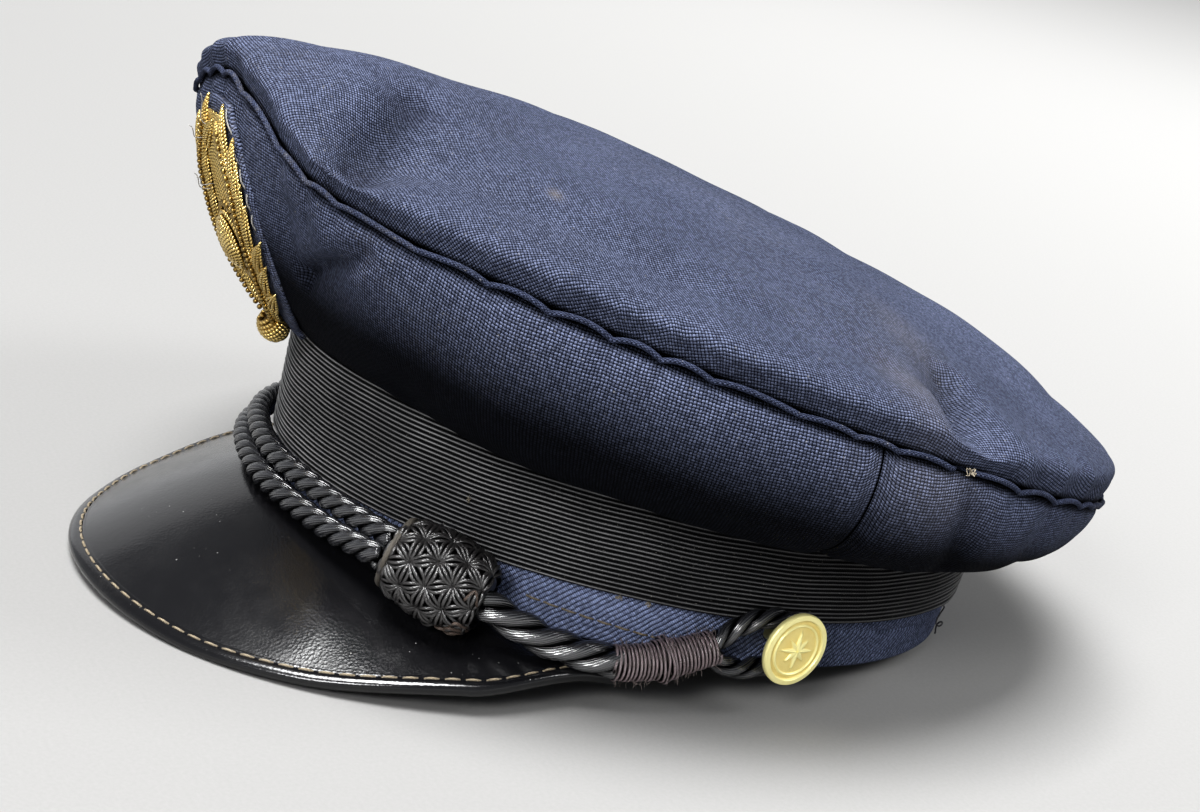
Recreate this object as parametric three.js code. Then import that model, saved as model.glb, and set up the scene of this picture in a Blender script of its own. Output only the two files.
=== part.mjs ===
import * as THREE from 'three';

// Pilot cap, in millimetres. It is drawn with its rim level, the front towards -Y and the
// wearer's left towards +X, and is set down in its resting pose at the end.
// "turn" is the angle round the head in degrees: 0 front, 90 wearer's left, 180 rear.

// Driving sizes
const GAP = 0.3;
const BAND = { halfWidth: 84.4, halfLength: 102.3, flare: 0.045, height: 45, wall: 2.4 };
const BRAID = { low: 14, high: 44.7, backing: 0.9, ribDepth: 0.6, ribs: 13 };
const CLOTH = { wall: 2 };
const SEAM = { halfWidth: 124, front: 138, rear: 128, centreY: -5, squareness: 2.12 };
const TOP = {
  puff: 22.8,
  roundness: 1.61,
  shoulder: 0.073,
  shoulderEnd: 0.16,
  middle: 86.8,
  slope: 0.078,
  bow: 7.4,
  dentStart: 0.08,
};
const PIPING = { radius: 1.1 };
const PANEL = { sideSeam: 86, seamGap: 0.15, fullness: 0.75 };
const PEAK = {
  halfWidth: 92.6,
  rise: 38.4,
  reach: 115.2,
  rootTurn: 69,
  thick: 2.2,
  crown: 1.2,
  crownReach: 50,
  underTurn: 0.3,
};
const PEAK_EDGE = { closeFrom: 0.76, endReach: 7.5, endDrop: 2.5 };
const BINDING = { width: 5.6, thick: 3.6, squareness: 0.7 };
const CORD = { radius: 2.9, endRadius: 3.7, loopRadius: 2.8 };
const KNOT = { radius: 10.8, endRadius: 7 };
const WHIPPING = { radius: 4.8, endRadius: 4.1 };
const BUTTON = { turn: 89.5, height: 10.5, stand: 8.8, radius: 9.8, shank: 2.2, swing: 8 };
const BACKING = { thick: 1.2, seat: 0.5 };
const SPRAY = { thick: 2, edgeThick: 1, leaves: 6, notch: 0.45, seat: 0.5 };
const BOSS = { radius: 7, height: 3.6, along: 0.46, seat: 0.6 };
const PRESS = 0.6;

// Height of the seam between the crown's top and sides
const SEAM_HEIGHTS = [
  { turn: 0, height: 108 },
  { turn: 8, height: 104.5 },
  { turn: 20, height: 95 },
  { turn: 32, height: 91.5 },
  { turn: 45, height: 89 },
  { turn: 62, height: 84.5 },
  { turn: 90, height: 74 },
  { turn: 115, height: 64 },
  { turn: 145, height: 54.5 },
  { turn: 180, height: 49 },
];

// How far the padded sides stand out from the straight line between band and seam
const PANEL_BULGE = [
  { turn: 0, bulge: 8 },
  { turn: 22, bulge: 8 },
  { turn: 50, bulge: 12 },
  { turn: 90, bulge: 14 },
  { turn: 180, bulge: 11 },
];

// Dents pressed into the sides: "along" runs from 0 at the band to 1 at the seam
const PANEL_DENTS = [
  { turn: 19, along: 0.72, turnSpan: 7, alongSpan: 0.22, depth: 4.5 },
  { turn: -21, along: 0.7, turnSpan: 8, alongSpan: 0.24, depth: 3.5 },
  { turn: 98, along: 0.95, turnSpan: 4, alongSpan: 0.3, depth: 3 },
];

// Dents pressed into the top: "along" runs from 0 at the seam to 1 at the middle
const TOP_DENTS = [
  { turn: 24, along: 0.16, turnSpan: 7, alongSpan: 0.16, depth: 5 },
  { turn: -26, along: 0.16, turnSpan: 8, alongSpan: 0.18, depth: 4 },
  { turn: 98, along: 0.08, turnSpan: 4, alongSpan: 0.14, depth: 4 },
];

// Broad hollows of the top, placed in plan; a negative depth is a swelling
const TOP_HOLLOWS = [
  { x: 0, y: 20, width: 70, length: 45, depth: 7.4 },
  { x: 30, y: 95, width: 60, length: 28, depth: 3.4 },
  { x: 50, y: 82, width: 32, length: 26, depth: -5.5 },
  { x: 0, y: -128, width: 40, length: 22, depth: -2 },
];

// Height at which the peak meets the band
const PEAK_ROOT = [
  { turn: 0, height: 6 },
  { turn: 40, height: 3.6 },
  { turn: 69, height: -3 },
];

// Height of the peak's outer edge: "share" runs from 0 at the middle of the front to 1 at its ends
const PEAK_EDGE_HEIGHTS = [
  { share: 0, height: -22.2 },
  { share: 0.3, height: -22.6 },
  { share: 0.5, height: -19.8 },
  { share: 0.75, height: -10.9 },
  { share: 1, height: -5 },
];

// Routes of the chin cord, from the wearer's right to the left: "out" is measured from the
// band's cloth. The right-hand knot has been slid further back than the left-hand one.
const CORD_UPPER = [
  { turn: -51.8, out: 10.6, height: 10.9 },
  { turn: -34, out: 8, height: 11 },
  { turn: -20, out: 6, height: 12 },
  { turn: 0, out: 4.9, height: 12.8 },
  { turn: 20, out: 6, height: 12.8 },
  { turn: 34, out: 10.8, height: 13.1 },
];
const CORD_LOWER = [
  { turn: -51.8, out: 15, height: 6.9 },
  { turn: -34, out: 11, height: 5.4 },
  { turn: -20, out: 8.8, height: 6.4 },
  { turn: 0, out: 7.6, height: 7.1 },
  { turn: 20, out: 9.4, height: 7.3 },
  { turn: 34, out: 15.2, height: 8.9 },
];
const LEFT_CORD = {
  knot: [
    { turn: 35, out: 13.8, height: 11.7 },
    { turn: 48.6, out: 13.8, height: 7.3 },
  ],
  end: [
    { turn: 49.3, out: 13.6, height: 6.6 },
    { turn: 57, out: 11.3, height: 1.6 },
    { turn: 62.7, out: 10.2, height: 0.1 },
    { turn: 66.5, out: 9.4, height: -0.7 },
  ],
  whipping: [
    { turn: 67.1, out: 9.2, height: -0.6 },
    { turn: 72.5, out: 7.4, height: 1.4 },
    { turn: 79, out: 5.8, height: 6 },
  ],
};
const RIGHT_CORD = {
  knot: [
    { turn: -52.6, out: 13, height: 8.7 },
    { turn: -65.2, out: 13, height: 6.5 },
  ],
  end: [
    { turn: -66.2, out: 12.2, height: 5.6 },
    { turn: -67.6, out: 11.2, height: 4.3 },
    { turn: -68.9, out: 10.1, height: 3.3 },
  ],
  whipping: [
    { turn: -69.6, out: 9.8, height: 3 },
    { turn: -74, out: 7.6, height: 3.2 },
    { turn: -79, out: 5.8, height: 6 },
  ],
};
const CORD_LOOP = [
  { turn: 80.8, out: 5.2, height: 9.6 },
  { turn: 83.5, out: 5.2, height: 14 },
  { turn: 87, out: 5.2, height: 16.4 },
  { turn: 91, out: 4.9, height: 15.4 },
  { turn: 93.6, out: 3.6, height: 10.5 },
  { turn: 91, out: 3.6, height: 4.8 },
  { turn: 87, out: 4.6, height: 2 },
  { turn: 83, out: 5.2, height: 1.8 },
  { turn: 80.6, out: 5.4, height: 3.8 },
];

// Outline of the badge's cloth patch on the front panel
const BACKING_OUTLINE = [
  { along: 0.06, half: 7 },
  { along: 0.2, half: 14 },
  { along: 0.45, half: 20 },
  { along: 0.7, half: 19 },
  { along: 0.86, half: 13.5 },
  { along: 0.95, half: 7 },
];
const SPRAY_PATH = [
  { along: 0.11, across: 2.5, half: 1.6 },
  { along: 0.24, across: 8, half: 3.4 },
  { along: 0.45, across: 13, half: 4.6 },
  { along: 0.68, across: 12.5, half: 4.2 },
  { along: 0.88, across: 6.5, half: 1.4 },
];

// Section of the side button: "ahead" is measured from the back of its head, "inside" from its edge
const BUTTON_HEAD = [
  { ahead: 0, inside: 1.2 },
  { ahead: 0.8, inside: 0 },
  { ahead: 2, inside: 0.2 },
  { ahead: 2.4, inside: 0.9 },
  { ahead: 2, inside: 1.6 },
  { ahead: 2.7, inside: 4.4 },
  { ahead: 2.9, inside: 9.8 },
];

// Section of the badge's boss, as shares of its height and radius
const BOSS_SECTION = [
  { rise: 0, width: 1 },
  { rise: 0.35, width: 1 },
  { rise: 0.75, width: 0.72 },
  { rise: 0.95, width: 0.36 },
  { rise: 1, width: 0 },
];

// Colours and finishes
const COLOUR = {
  navy: 0x20263c,
  braid: 0x17171a,
  leather: 0x0b0b0c,
  cord: 0x141417,
  thread: 0x2b2426,
  gold: 0xc9a24a,
};
const CLOTH_FINISH = { roughness: 0.9, metalness: 0 };
const LEATHER_FINISH = { roughness: 0.25, metalness: 0 };
const METAL_FINISH = { roughness: 0.35, metalness: 1 };

// Curves and surfaces
const radians = THREE.MathUtils.degToRad;
const UP = new THREE.Vector3(0, 0, 1);

function stations(count, from, to) {
  return Array.from({ length: count + 1 }, (_, i) => from + ((to - from) * i) / count);
}

// Angles of a full turn, in radians, for the corners of a round section
function roundAngles(sides) {
  return stations(sides, 0, 2 * Math.PI).slice(0, -1);
}

const signedPower = (value, power) => Math.sign(value) * Math.abs(value) ** power;
const foldedTurn = (turn) => Math.abs((((turn % 360) + 540) % 360) - 180);

// Smooth value of one column of a table, with no overshoot between its rows
function tableValue(table, key, column, at) {
  const last = table.length - 1;
  const x = THREE.MathUtils.clamp(at, table[0][key], table[last][key]);
  let row = 0;
  while (row < last - 1 && table[row + 1][key] < x) row += 1;
  const slope = (i) => {
    const rise = table[i + 1][column] - table[i][column];
    return rise / (table[i + 1][key] - table[i][key]);
  };
  const tangent = (i) => {
    if (i === 0 || i === last) return 0;
    const before = slope(i - 1);
    const after = slope(i);
    return before * after <= 0 ? 0 : (2 * before * after) / (before + after);
  };
  const span = table[row + 1][key] - table[row][key];
  const t = (x - table[row][key]) / span;
  const start = table[row][column] * (1 + 2 * t) + span * tangent(row) * t;
  const end = table[row + 1][column] * (3 - 2 * t) + span * tangent(row + 1) * (t - 1);
  return start * (1 - t) ** 2 + end * t ** 2;
}

// Point of the band: "out" is measured from its cloth, "height" from its rim
function bandPoint(turn, out, height) {
  const angle = radians(turn);
  const grow = out + BAND.flare * Math.max(height, 0);
  return new THREE.Vector3(
    (BAND.halfWidth + grow) * Math.sin(angle),
    -(BAND.halfLength + grow) * Math.cos(angle),
    height,
  );
}

// Point of the seam round the crown, a rounded oval seen from above
function seamPoint(turn) {
  const angle = radians(turn);
  const power = 2 / SEAM.squareness;
  const reach = Math.cos(angle) > 0 ? SEAM.front : SEAM.rear;
  return new THREE.Vector3(
    SEAM.halfWidth * signedPower(Math.sin(angle), power),
    SEAM.centreY - reach * signedPower(Math.cos(angle), power),
    tableValue(SEAM_HEIGHTS, 'turn', 'height', foldedTurn(turn)),
  );
}

function dentDepth(dents, turn, along) {
  let depth = 0;
  for (const dent of dents) {
    const aside = ((((turn - dent.turn) % 360) + 540) % 360) - 180;
    const across = aside / dent.turnSpan;
    const up = (along - dent.along) / dent.alongSpan;
    depth += dent.depth * Math.exp(-across * across - up * up);
  }
  return depth;
}

function hollowDepth(x, y) {
  let depth = 0;
  for (const hollow of TOP_HOLLOWS) {
    const across = (x - hollow.x) / hollow.width;
    const along = (y - hollow.y) / hollow.length;
    depth += hollow.depth * Math.exp(-across * across - along * along);
  }
  return depth;
}

// Point of the crown's padded side, from the top of the band to the seam
function panelPoint(turn, along) {
  const start = bandPoint(turn, BRAID.backing + BRAID.ribDepth + GAP, BAND.height + GAP);
  const end = seamPoint(turn).addScaledVector(UP, -PIPING.radius - GAP);
  const chord = end.clone().sub(start);
  const level = Math.hypot(chord.x, chord.y);
  const length = chord.length();
  const steepness = chord.z / level;
  const outward = new THREE.Vector3(chord.x * steepness, chord.y * steepness, -level).divideScalar(length);
  const fullness = (4 * along * (1 - along)) ** PANEL.fullness;
  const bulge = tableValue(PANEL_BULGE, 'turn', 'bulge', foldedTurn(turn)) * fullness;
  const dent = dentDepth(PANEL_DENTS, turn, along) * Math.sqrt(4 * along * (1 - along));
  return start.addScaledVector(chord, along).addScaledVector(outward, bulge - dent);
}

// Point of the crown's top, from the seam over the roll at its edge to the middle
function topPoint(turn, along) {
  const seam = seamPoint(turn);
  const inward = 1 - along;
  const shoulder = TOP.shoulder * Math.sin(Math.PI * Math.min(along / TOP.shoulderEnd, 1));
  const x = seam.x * (inward + shoulder);
  const y = SEAM.centreY + (seam.y - SEAM.centreY) * (inward + shoulder);
  const rise = TOP.puff * (1 - inward ** TOP.roundness) ** (1 / TOP.roundness);
  const middle = TOP.middle - TOP.slope * y + TOP.bow * (y / SEAM.front) ** 2;
  const level = seam.z * inward ** 2 + middle * (1 - inward ** 2);
  const pressed = dentDepth(TOP_DENTS, turn, along) + hollowDepth(x, y);
  const dent = pressed * Math.min(along / TOP.dentStart, 1);
  return new THREE.Vector3(x, y, PIPING.radius + GAP + level + rise - dent);
}

// Outward normal of a crown surface; "along" is kept between low and high
function normalOf(surface, turn, along, low, high) {
  const turnStep = 0.2;
  const alongStep = 0.002;
  const before = Math.max(along - alongStep, low);
  const after = Math.min(along + alongStep, high);
  const round = surface(turn + turnStep, along).sub(surface(turn - turnStep, along));
  const up = surface(turn, after).sub(surface(turn, before));
  return round.cross(up).normalize();
}

// Closed body from its corners and triangles, turned so that its faces point out
function solid(name, colour, finish, corners, faces) {
  const geometry = new THREE.BufferGeometry();
  const places = corners.flatMap((corner) => corner.toArray());
  geometry.setAttribute('position', new THREE.Float32BufferAttribute(places, 3));
  let volume = 0;
  for (const [a, b, c] of faces) volume += corners[a].dot(corners[b].clone().cross(corners[c]));
  geometry.setIndex(faces.flatMap(([a, b, c]) => (volume < 0 ? [a, c, b] : [a, b, c])));
  geometry.computeVertexNormals();
  const mesh = new THREE.Mesh(geometry, new THREE.MeshStandardMaterial({ color: colour, ...finish }));
  mesh.name = name;
  return mesh;
}

// Closed body from rows of points round a section; "ring" joins the last row to the first,
// otherwise both end rows are capped. A row of one point is a tip.
function loft(name, colour, finish, rows, ring) {
  const corners = [];
  const starts = rows.map((row) => {
    corners.push(...row);
    return corners.length - row.length;
  });
  const faces = [];
  const count = rows.length;
  for (let r = 0; r < (ring ? count : count - 1); r += 1) {
    const next = (r + 1) % count;
    const here = rows[r].length;
    const there = rows[next].length;
    const sides = Math.max(here, there);
    for (let s = 0; s < sides; s += 1) {
      const t = (s + 1) % sides;
      const a = starts[r] + (here === 1 ? 0 : s);
      const b = starts[r] + (here === 1 ? 0 : t);
      const c = starts[next] + (there === 1 ? 0 : t);
      const d = starts[next] + (there === 1 ? 0 : s);
      if (here > 1) faces.push([a, b, c]);
      if (there > 1) faces.push([a, c, d]);
    }
  }
  if (!ring) {
    for (const r of [0, count - 1]) {
      if (rows[r].length === 1) continue;
      const sum = new THREE.Vector3();
      for (const corner of rows[r]) sum.add(corner);
      corners.push(sum.divideScalar(rows[r].length));
      for (let s = 0; s < rows[r].length; s += 1) {
        const a = starts[r] + s;
        const b = starts[r] + ((s + 1) % rows[r].length);
        faces.push(r === 0 ? [corners.length - 1, b, a] : [corners.length - 1, a, b]);
      }
    }
  }
  return solid(name, colour, finish, corners, faces);
}

// A walled sheet between stations: each station gives its outer and its inner points
function walledSheet(name, colour, finish, columns, ring) {
  const rows = columns.map(({ outer, inner }) => [...outer, ...inner.slice().reverse()]);
  if (ring) return loft(name, colour, finish, rows, true);
  const corners = rows.flat();
  const size = rows[0].length;
  const half = columns[0].outer.length;
  const faces = [];
  for (let r = 0; r < rows.length - 1; r += 1) {
    for (let s = 0; s < size; s += 1) {
      const t = (s + 1) % size;
      const here = r * size;
      const next = here + size;
      faces.push([here + s, here + t, next + t], [here + s, next + t, next + s]);
    }
  }
  for (let s = 0; s < half - 1; s += 1) {
    const opposite = size - 1 - s;
    const end = (rows.length - 1) * size;
    faces.push([s, opposite, s + 1]);
    faces.push([s + 1, opposite, opposite - 1]);
    faces.push([end + s, end + s + 1, end + opposite]);
    faces.push([end + s + 1, end + opposite - 1, end + opposite]);
  }
  return solid(name, colour, finish, corners, faces);
}

// Round body along a route of points, with a radius at each point
function roundRun(name, colour, finish, route, radii, sides, ring) {
  const rows = route.map((point, i) => {
    const last = route.length - 1;
    const before = route[ring ? (i + last) % route.length : Math.max(i - 1, 0)];
    const after = route[ring ? (i + 1) % route.length : Math.min(i + 1, last)];
    const along = after.clone().sub(before).normalize();
    const side = along.clone().cross(UP).normalize();
    const above = side.clone().cross(along);
    return roundAngles(sides).map((angle) => point.clone()
      .addScaledVector(side, radii[i] * Math.cos(angle))
      .addScaledVector(above, radii[i] * Math.sin(angle)));
  });
  return loft(name, colour, finish, rows, ring);
}

// Smooth run of points through the rows of a route table
function routePoints(table, count) {
  const knots = table.map((row) => bandPoint(row.turn, row.out, row.height));
  return new THREE.CatmullRomCurve3(knots, false, 'centripetal').getSpacedPoints(count);
}

// Band and braid
const BAND_TURNS = stations(40, 0, 360).slice(0, -1);
const RIM_EDGE = { inset: 0.5, rise: 0.7 };

const baseBand = loft('base_band', COLOUR.navy, CLOTH_FINISH, BAND_TURNS.map((turn) => [
  bandPoint(turn, -BAND.wall, 0),
  bandPoint(turn, -RIM_EDGE.inset, 0),
  bandPoint(turn, 0, RIM_EDGE.rise),
  bandPoint(turn, 0, BAND.height),
  bandPoint(turn, -BAND.wall, BAND.height),
]), true);

const braidBand = loft('braid_band', COLOUR.braid, CLOTH_FINISH, BAND_TURNS.map((turn) => {
  const pitch = (BRAID.high - BRAID.low) / BRAID.ribs;
  const outer = [];
  for (let rib = 0; rib < BRAID.ribs; rib += 1) {
    const low = BRAID.low + rib * pitch;
    outer.push(bandPoint(turn, GAP + BRAID.backing, low));
    outer.push(bandPoint(turn, GAP + BRAID.backing + BRAID.ribDepth, low + pitch / 2));
  }
  outer.push(bandPoint(turn, GAP + BRAID.backing, BRAID.high));
  return [...outer, bandPoint(turn, GAP, BRAID.high), bandPoint(turn, GAP, BRAID.low)];
}), true);

// Crown: sides, top and the piping between them
const PANEL_STEPS = [0, 0.07, 0.2, 0.38, 0.58, 0.78, 0.93, 1];

function panelColumn(turn) {
  const outer = [bandPoint(turn, -BAND.wall, BAND.height + GAP)];
  const inner = [bandPoint(turn, -BAND.wall, BAND.height + GAP + CLOTH.wall)];
  for (const along of PANEL_STEPS) {
    const point = panelPoint(turn, along);
    const normal = normalOf(panelPoint, turn, Math.max(along, 0.02), 0, 0.99);
    outer.push(point);
    inner.push(point.clone().addScaledVector(normal, -CLOTH.wall));
  }
  return { outer, inner };
}

// Padded side between two turns, which stops short of the seams at its ends
function crownPanel(name, from, to) {
  const turns = stations(24, from + PANEL.seamGap, to - PANEL.seamGap);
  return walledSheet(name, COLOUR.navy, CLOTH_FINISH, turns.map(panelColumn), false);
}

const CROWN_TURNS = stations(48, 0, 360).slice(0, -1);
const TOP_STEPS = [0, 0.02, 0.05, 0.09, 0.14, 0.22, 0.32, 0.46, 0.64, 0.84];

function crownTop() {
  const centre = topPoint(0, 1);
  const outer = TOP_STEPS.map((along) => CROWN_TURNS.map((turn) => topPoint(turn, along)));
  const inner = TOP_STEPS.map((along) => CROWN_TURNS.map((turn) => {
    const normal = normalOf(topPoint, turn, Math.max(along, 0.004), 0, 1);
    return topPoint(turn, along).addScaledVector(normal, -CLOTH.wall);
  }));
  const underCentre = centre.clone().addScaledVector(UP, -CLOTH.wall);
  const rows = [[centre], ...outer.reverse(), ...inner, [underCentre]];
  return loft('crown_top', COLOUR.navy, CLOTH_FINISH, rows, false);
}

const piping = roundRun('crown_piping', COLOUR.navy, CLOTH_FINISH,
  CROWN_TURNS.map(seamPoint), CROWN_TURNS.map(() => PIPING.radius), 6, true);

// Peak and its rolled edge: "share" runs from -1 at the wearer's right end to 1 at the left end
function peakRoot(share) {
  const turn = share * PEAK.rootTurn;
  return bandPoint(turn, GAP, tableValue(PEAK_ROOT, 'turn', 'height', foldedTurn(turn)));
}

// Outer edge of the peak, which closes in on the band towards both ends
function peakEdge(share) {
  const angle = radians(share * 90);
  const swept = new THREE.Vector3(
    PEAK.halfWidth * Math.sin(angle),
    -PEAK.rise - PEAK.reach * Math.cos(angle),
    tableValue(PEAK_EDGE_HEIGHTS, 'share', 'height', Math.abs(share)),
  );
  const root = peakRoot(share);
  const turn = radians(share * PEAK.rootTurn);
  const aside = new THREE.Vector3(Math.sin(turn) / BAND.halfWidth, -Math.cos(turn) / BAND.halfLength, 0);
  const close = root
    .addScaledVector(aside.normalize(), PEAK_EDGE.endReach)
    .addScaledVector(UP, -PEAK_EDGE.endDrop);
  return swept.lerp(close, THREE.MathUtils.smoothstep(Math.abs(share), PEAK_EDGE.closeFrom, 1));
}

// Point of the peak's upper face, "across" being 0 at the band and 1 at the outer edge
function peakPoint(share, across) {
  const root = peakRoot(share);
  const edge = peakEdge(share);
  const reach = edge.distanceTo(root);
  const crown = PEAK.crown * 4 * across * (1 - across) * Math.min(reach / PEAK.crownReach, 1);
  return root.lerp(edge, across).addScaledVector(UP, crown);
}

function peakFrame(share, across) {
  const step = 0.01;
  const along = peakPoint(share + step, across).sub(peakPoint(share - step, across)).normalize();
  const outward = peakPoint(share, across + step).sub(peakPoint(share, across - step)).normalize();
  const normal = along.clone().cross(outward).normalize();
  if (normal.z < 0) normal.negate();
  return { outward, normal };
}

const PEAK_SHARES = stations(26, -0.985, 0.985);

const peak = walledSheet('peak', COLOUR.leather, LEATHER_FINISH, PEAK_SHARES.map((share) => {
  const reach = peakEdge(share).distanceTo(peakRoot(share));
  const steps = stations(5, 0, 1 - (BINDING.width + GAP) / reach);
  const outer = steps.map((across) => peakPoint(share, across));
  const inner = steps.map((across) => {
    const { normal } = peakFrame(share, Math.max(across, 0.02));
    const turned = Math.min(across / PEAK.underTurn, 1);
    const above = UP.clone().lerp(normal, turned).normalize();
    return peakPoint(share, across).addScaledVector(above, -PEAK.thick);
  });
  return { outer, inner };
}), false);

const binding = loft('peak_binding', COLOUR.leather, LEATHER_FINISH, PEAK_SHARES.map((share) => {
  const { outward, normal } = peakFrame(share, 0.97);
  const middle = peakEdge(share)
    .addScaledVector(outward, -BINDING.width / 2)
    .addScaledVector(normal, -PEAK.thick / 2);
  return roundAngles(8).map((angle) => {
    const wide = signedPower(Math.cos(angle), BINDING.squareness) * (BINDING.width / 2);
    const thick = signedPower(Math.sin(angle), BINDING.squareness) * (BINDING.thick / 2);
    return middle.clone().addScaledVector(outward, wide).addScaledVector(normal, thick);
  });
}), false);

// Chin cord
function frontStrand(name, table) {
  const route = routePoints(table, 24);
  return roundRun(name, COLOUR.cord, CLOTH_FINISH, route, route.map(() => CORD.radius), 8, false);
}

function barrel(name, colour, table, count, { radius, endRadius }) {
  const route = routePoints(table, count);
  const radii = route.map((_, i) => {
    const swell = Math.sqrt(Math.max(Math.sin((Math.PI * i) / count), 0));
    return endRadius + (radius - endRadius) * swell;
  });
  return roundRun(name, colour, CLOTH_FINISH, route, radii, 12, false);
}

function sidePieces(word, side, table) {
  const end = routePoints(table.end, 8);
  const loop = routePoints(CORD_LOOP.map((row) => ({ ...row, turn: side * row.turn })), 18);
  return [
    barrel(`knot_${word}`, COLOUR.cord, table.knot, 8, KNOT),
    roundRun(`cord_end_${word}`, COLOUR.cord, CLOTH_FINISH, end, end.map(() => CORD.endRadius), 8, false),
    barrel(`whipping_${word}`, COLOUR.thread, table.whipping, 6, WHIPPING),
    roundRun(`cord_loop_${word}`, COLOUR.cord, CLOTH_FINISH, loop, loop.map(() => CORD.loopRadius), 7, false),
    sideButton(`button_${word}`, side),
  ];
}

// Gilt body turned about the axis "out"; a radius of 0 is a tip
function turned(name, foot, { out, level, above }, section, sides) {
  const rows = section.map(({ along, radius }) => {
    const centre = foot.clone().addScaledVector(out, along);
    if (radius === 0) return [centre];
    return roundAngles(sides).map((angle) => centre.clone()
      .addScaledVector(level, radius * Math.cos(angle))
      .addScaledVector(above, radius * Math.sin(angle)));
  });
  return loft(name, COLOUR.gold, METAL_FINISH, rows, false);
}

// Side button: shank, domed head and raised rim
function sideButton(name, side) {
  const foot = bandPoint(side * BUTTON.turn, GAP, BUTTON.height);
  const turn = radians(side * (BUTTON.turn + BUTTON.swing));
  const out = new THREE.Vector3(Math.sin(turn), -Math.cos(turn), 0);
  const level = new THREE.Vector3(-out.y, out.x, 0);
  const shank = [0, BUTTON.stand].map((along) => ({ along, radius: BUTTON.shank }));
  const head = BUTTON_HEAD.map(({ ahead, inside }) => ({
    along: BUTTON.stand + ahead,
    radius: BUTTON.radius - inside,
  }));
  return turned(name, foot, { out, level, above: UP }, [...shank, ...head], 20);
}

// Badge on the front panel: turn at which the panel is so far across
function panelAcross(across, along) {
  let low = -60;
  let high = 60;
  for (let i = 0; i < 30; i += 1) {
    const middle = (low + high) / 2;
    if (panelPoint(middle, along).x < across) low = middle;
    else high = middle;
  }
  return low;
}

function onPanel(across, along, lift) {
  const turn = panelAcross(across, along);
  const normal = normalOf(panelPoint, turn, along, 0, 1);
  return panelPoint(turn, along).addScaledVector(normal, lift);
}

const BACKING_STEPS = stations(8, BACKING_OUTLINE[0].along, BACKING_OUTLINE[5].along);
const backing = walledSheet('badge_backing', COLOUR.navy, CLOTH_FINISH, BACKING_STEPS.map((along) => {
  const half = tableValue(BACKING_OUTLINE, 'along', 'half', along);
  const across = stations(6, -half, half);
  return {
    outer: across.map((x) => onPanel(x, along, BACKING.seat + BACKING.thick)),
    inner: across.map((x) => onPanel(x, along, BACKING.seat)),
  };
}), false);

function badgeSpray(name, side) {
  const count = SPRAY.leaves * 3;
  const lift = BACKING.seat + BACKING.thick + SPRAY.seat;
  const from = SPRAY_PATH[0].along;
  const to = SPRAY_PATH[SPRAY_PATH.length - 1].along;
  return walledSheet(name, COLOUR.gold, METAL_FINISH, stations(count, from, to).map((along) => {
    const leaf = ((along - from) / (to - from)) * SPRAY.leaves;
    const lobe = 1 - SPRAY.notch * (leaf % 1);
    const middle = tableValue(SPRAY_PATH, 'along', 'across', along);
    const half = tableValue(SPRAY_PATH, 'along', 'half', along) * lobe;
    const across = stations(2, side * (middle - half), side * (middle + half));
    return {
      outer: across.map((x, i) => onPanel(x, along, lift + (i === 1 ? SPRAY.thick : SPRAY.edgeThick))),
      inner: across.map((x) => onPanel(x, along, lift)),
    };
  }), false);
}

function badgeBoss() {
  const foot = onPanel(0, BOSS.along, BACKING.seat + BACKING.thick + BOSS.seat);
  const out = normalOf(panelPoint, 0, BOSS.along, 0, 1);
  const level = new THREE.Vector3(1, 0, 0);
  const above = out.clone().cross(level);
  const section = BOSS_SECTION.map(({ rise, width }) => ({
    along: rise * BOSS.height,
    radius: width * BOSS.radius,
  }));
  return turned('badge_boss', foot, { out, level, above }, section, 16);
}

// The whole cap
const pieces = [
  baseBand,
  braidBand,
  crownPanel('crown_front_panel', -PANEL.sideSeam, PANEL.sideSeam),
  crownPanel('crown_rear_panel', PANEL.sideSeam, 360 - PANEL.sideSeam),
  crownTop(),
  piping,
  peak,
  binding,
  backing,
  badgeSpray('badge_spray_left', 1),
  badgeSpray('badge_spray_right', -1),
  badgeBoss(),
  frontStrand('cord_upper', CORD_UPPER),
  frontStrand('cord_lower', CORD_LOWER),
  ...sidePieces('left', 1, LEFT_CORD),
  ...sidePieces('right', -1, RIGHT_CORD),
];

// Resting pose: the cap leans back until the peak and the rear of the rim both touch the floor.
// Rim and peak edge are soft, and are pressed flat where they bear.
function lowest(tilt, half) {
  const turned = new THREE.Matrix4().makeRotationX(tilt);
  const point = new THREE.Vector3();
  let low = Infinity;
  for (const piece of pieces) {
    const corners = piece.geometry.attributes.position;
    for (let i = 0; i < corners.count; i += 1) {
      point.fromBufferAttribute(corners, i);
      if (point.y * half < 0) continue;
      low = Math.min(low, point.applyMatrix4(turned).z);
    }
  }
  return low;
}

function restingTilt() {
  let less = radians(-12);
  let more = 0;
  for (let i = 0; i < 30; i += 1) {
    const tilt = (less + more) / 2;
    if (lowest(tilt, -1) > lowest(tilt, 1)) less = tilt;
    else more = tilt;
  }
  return (less + more) / 2;
}

const tilt = restingTilt();
const drop = Math.min(lowest(tilt, 1), lowest(tilt, -1)) + PRESS;
const setDown = new THREE.Matrix4().makeRotationX(tilt).setPosition(0, 0, -drop);
const outline = new THREE.Box3();
for (const piece of pieces) {
  piece.geometry.applyMatrix4(setDown);
  const corners = piece.geometry.attributes.position;
  for (let i = 0; i < corners.count; i += 1) corners.setZ(i, Math.max(corners.getZ(i), 0));
  piece.geometry.computeBoundingBox();
  outline.union(piece.geometry.boundingBox);
}
const middle = outline.getCenter(new THREE.Vector3());
for (const piece of pieces) piece.geometry.translate(-middle.x, -middle.y, 0);

const cap = new THREE.Group();
cap.name = 'pilot_cap';
cap.add(...pieces);

export default cap;
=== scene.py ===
import math

import bmesh
import bpy
import numpy as np
from mathutils import Matrix, Vector


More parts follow.
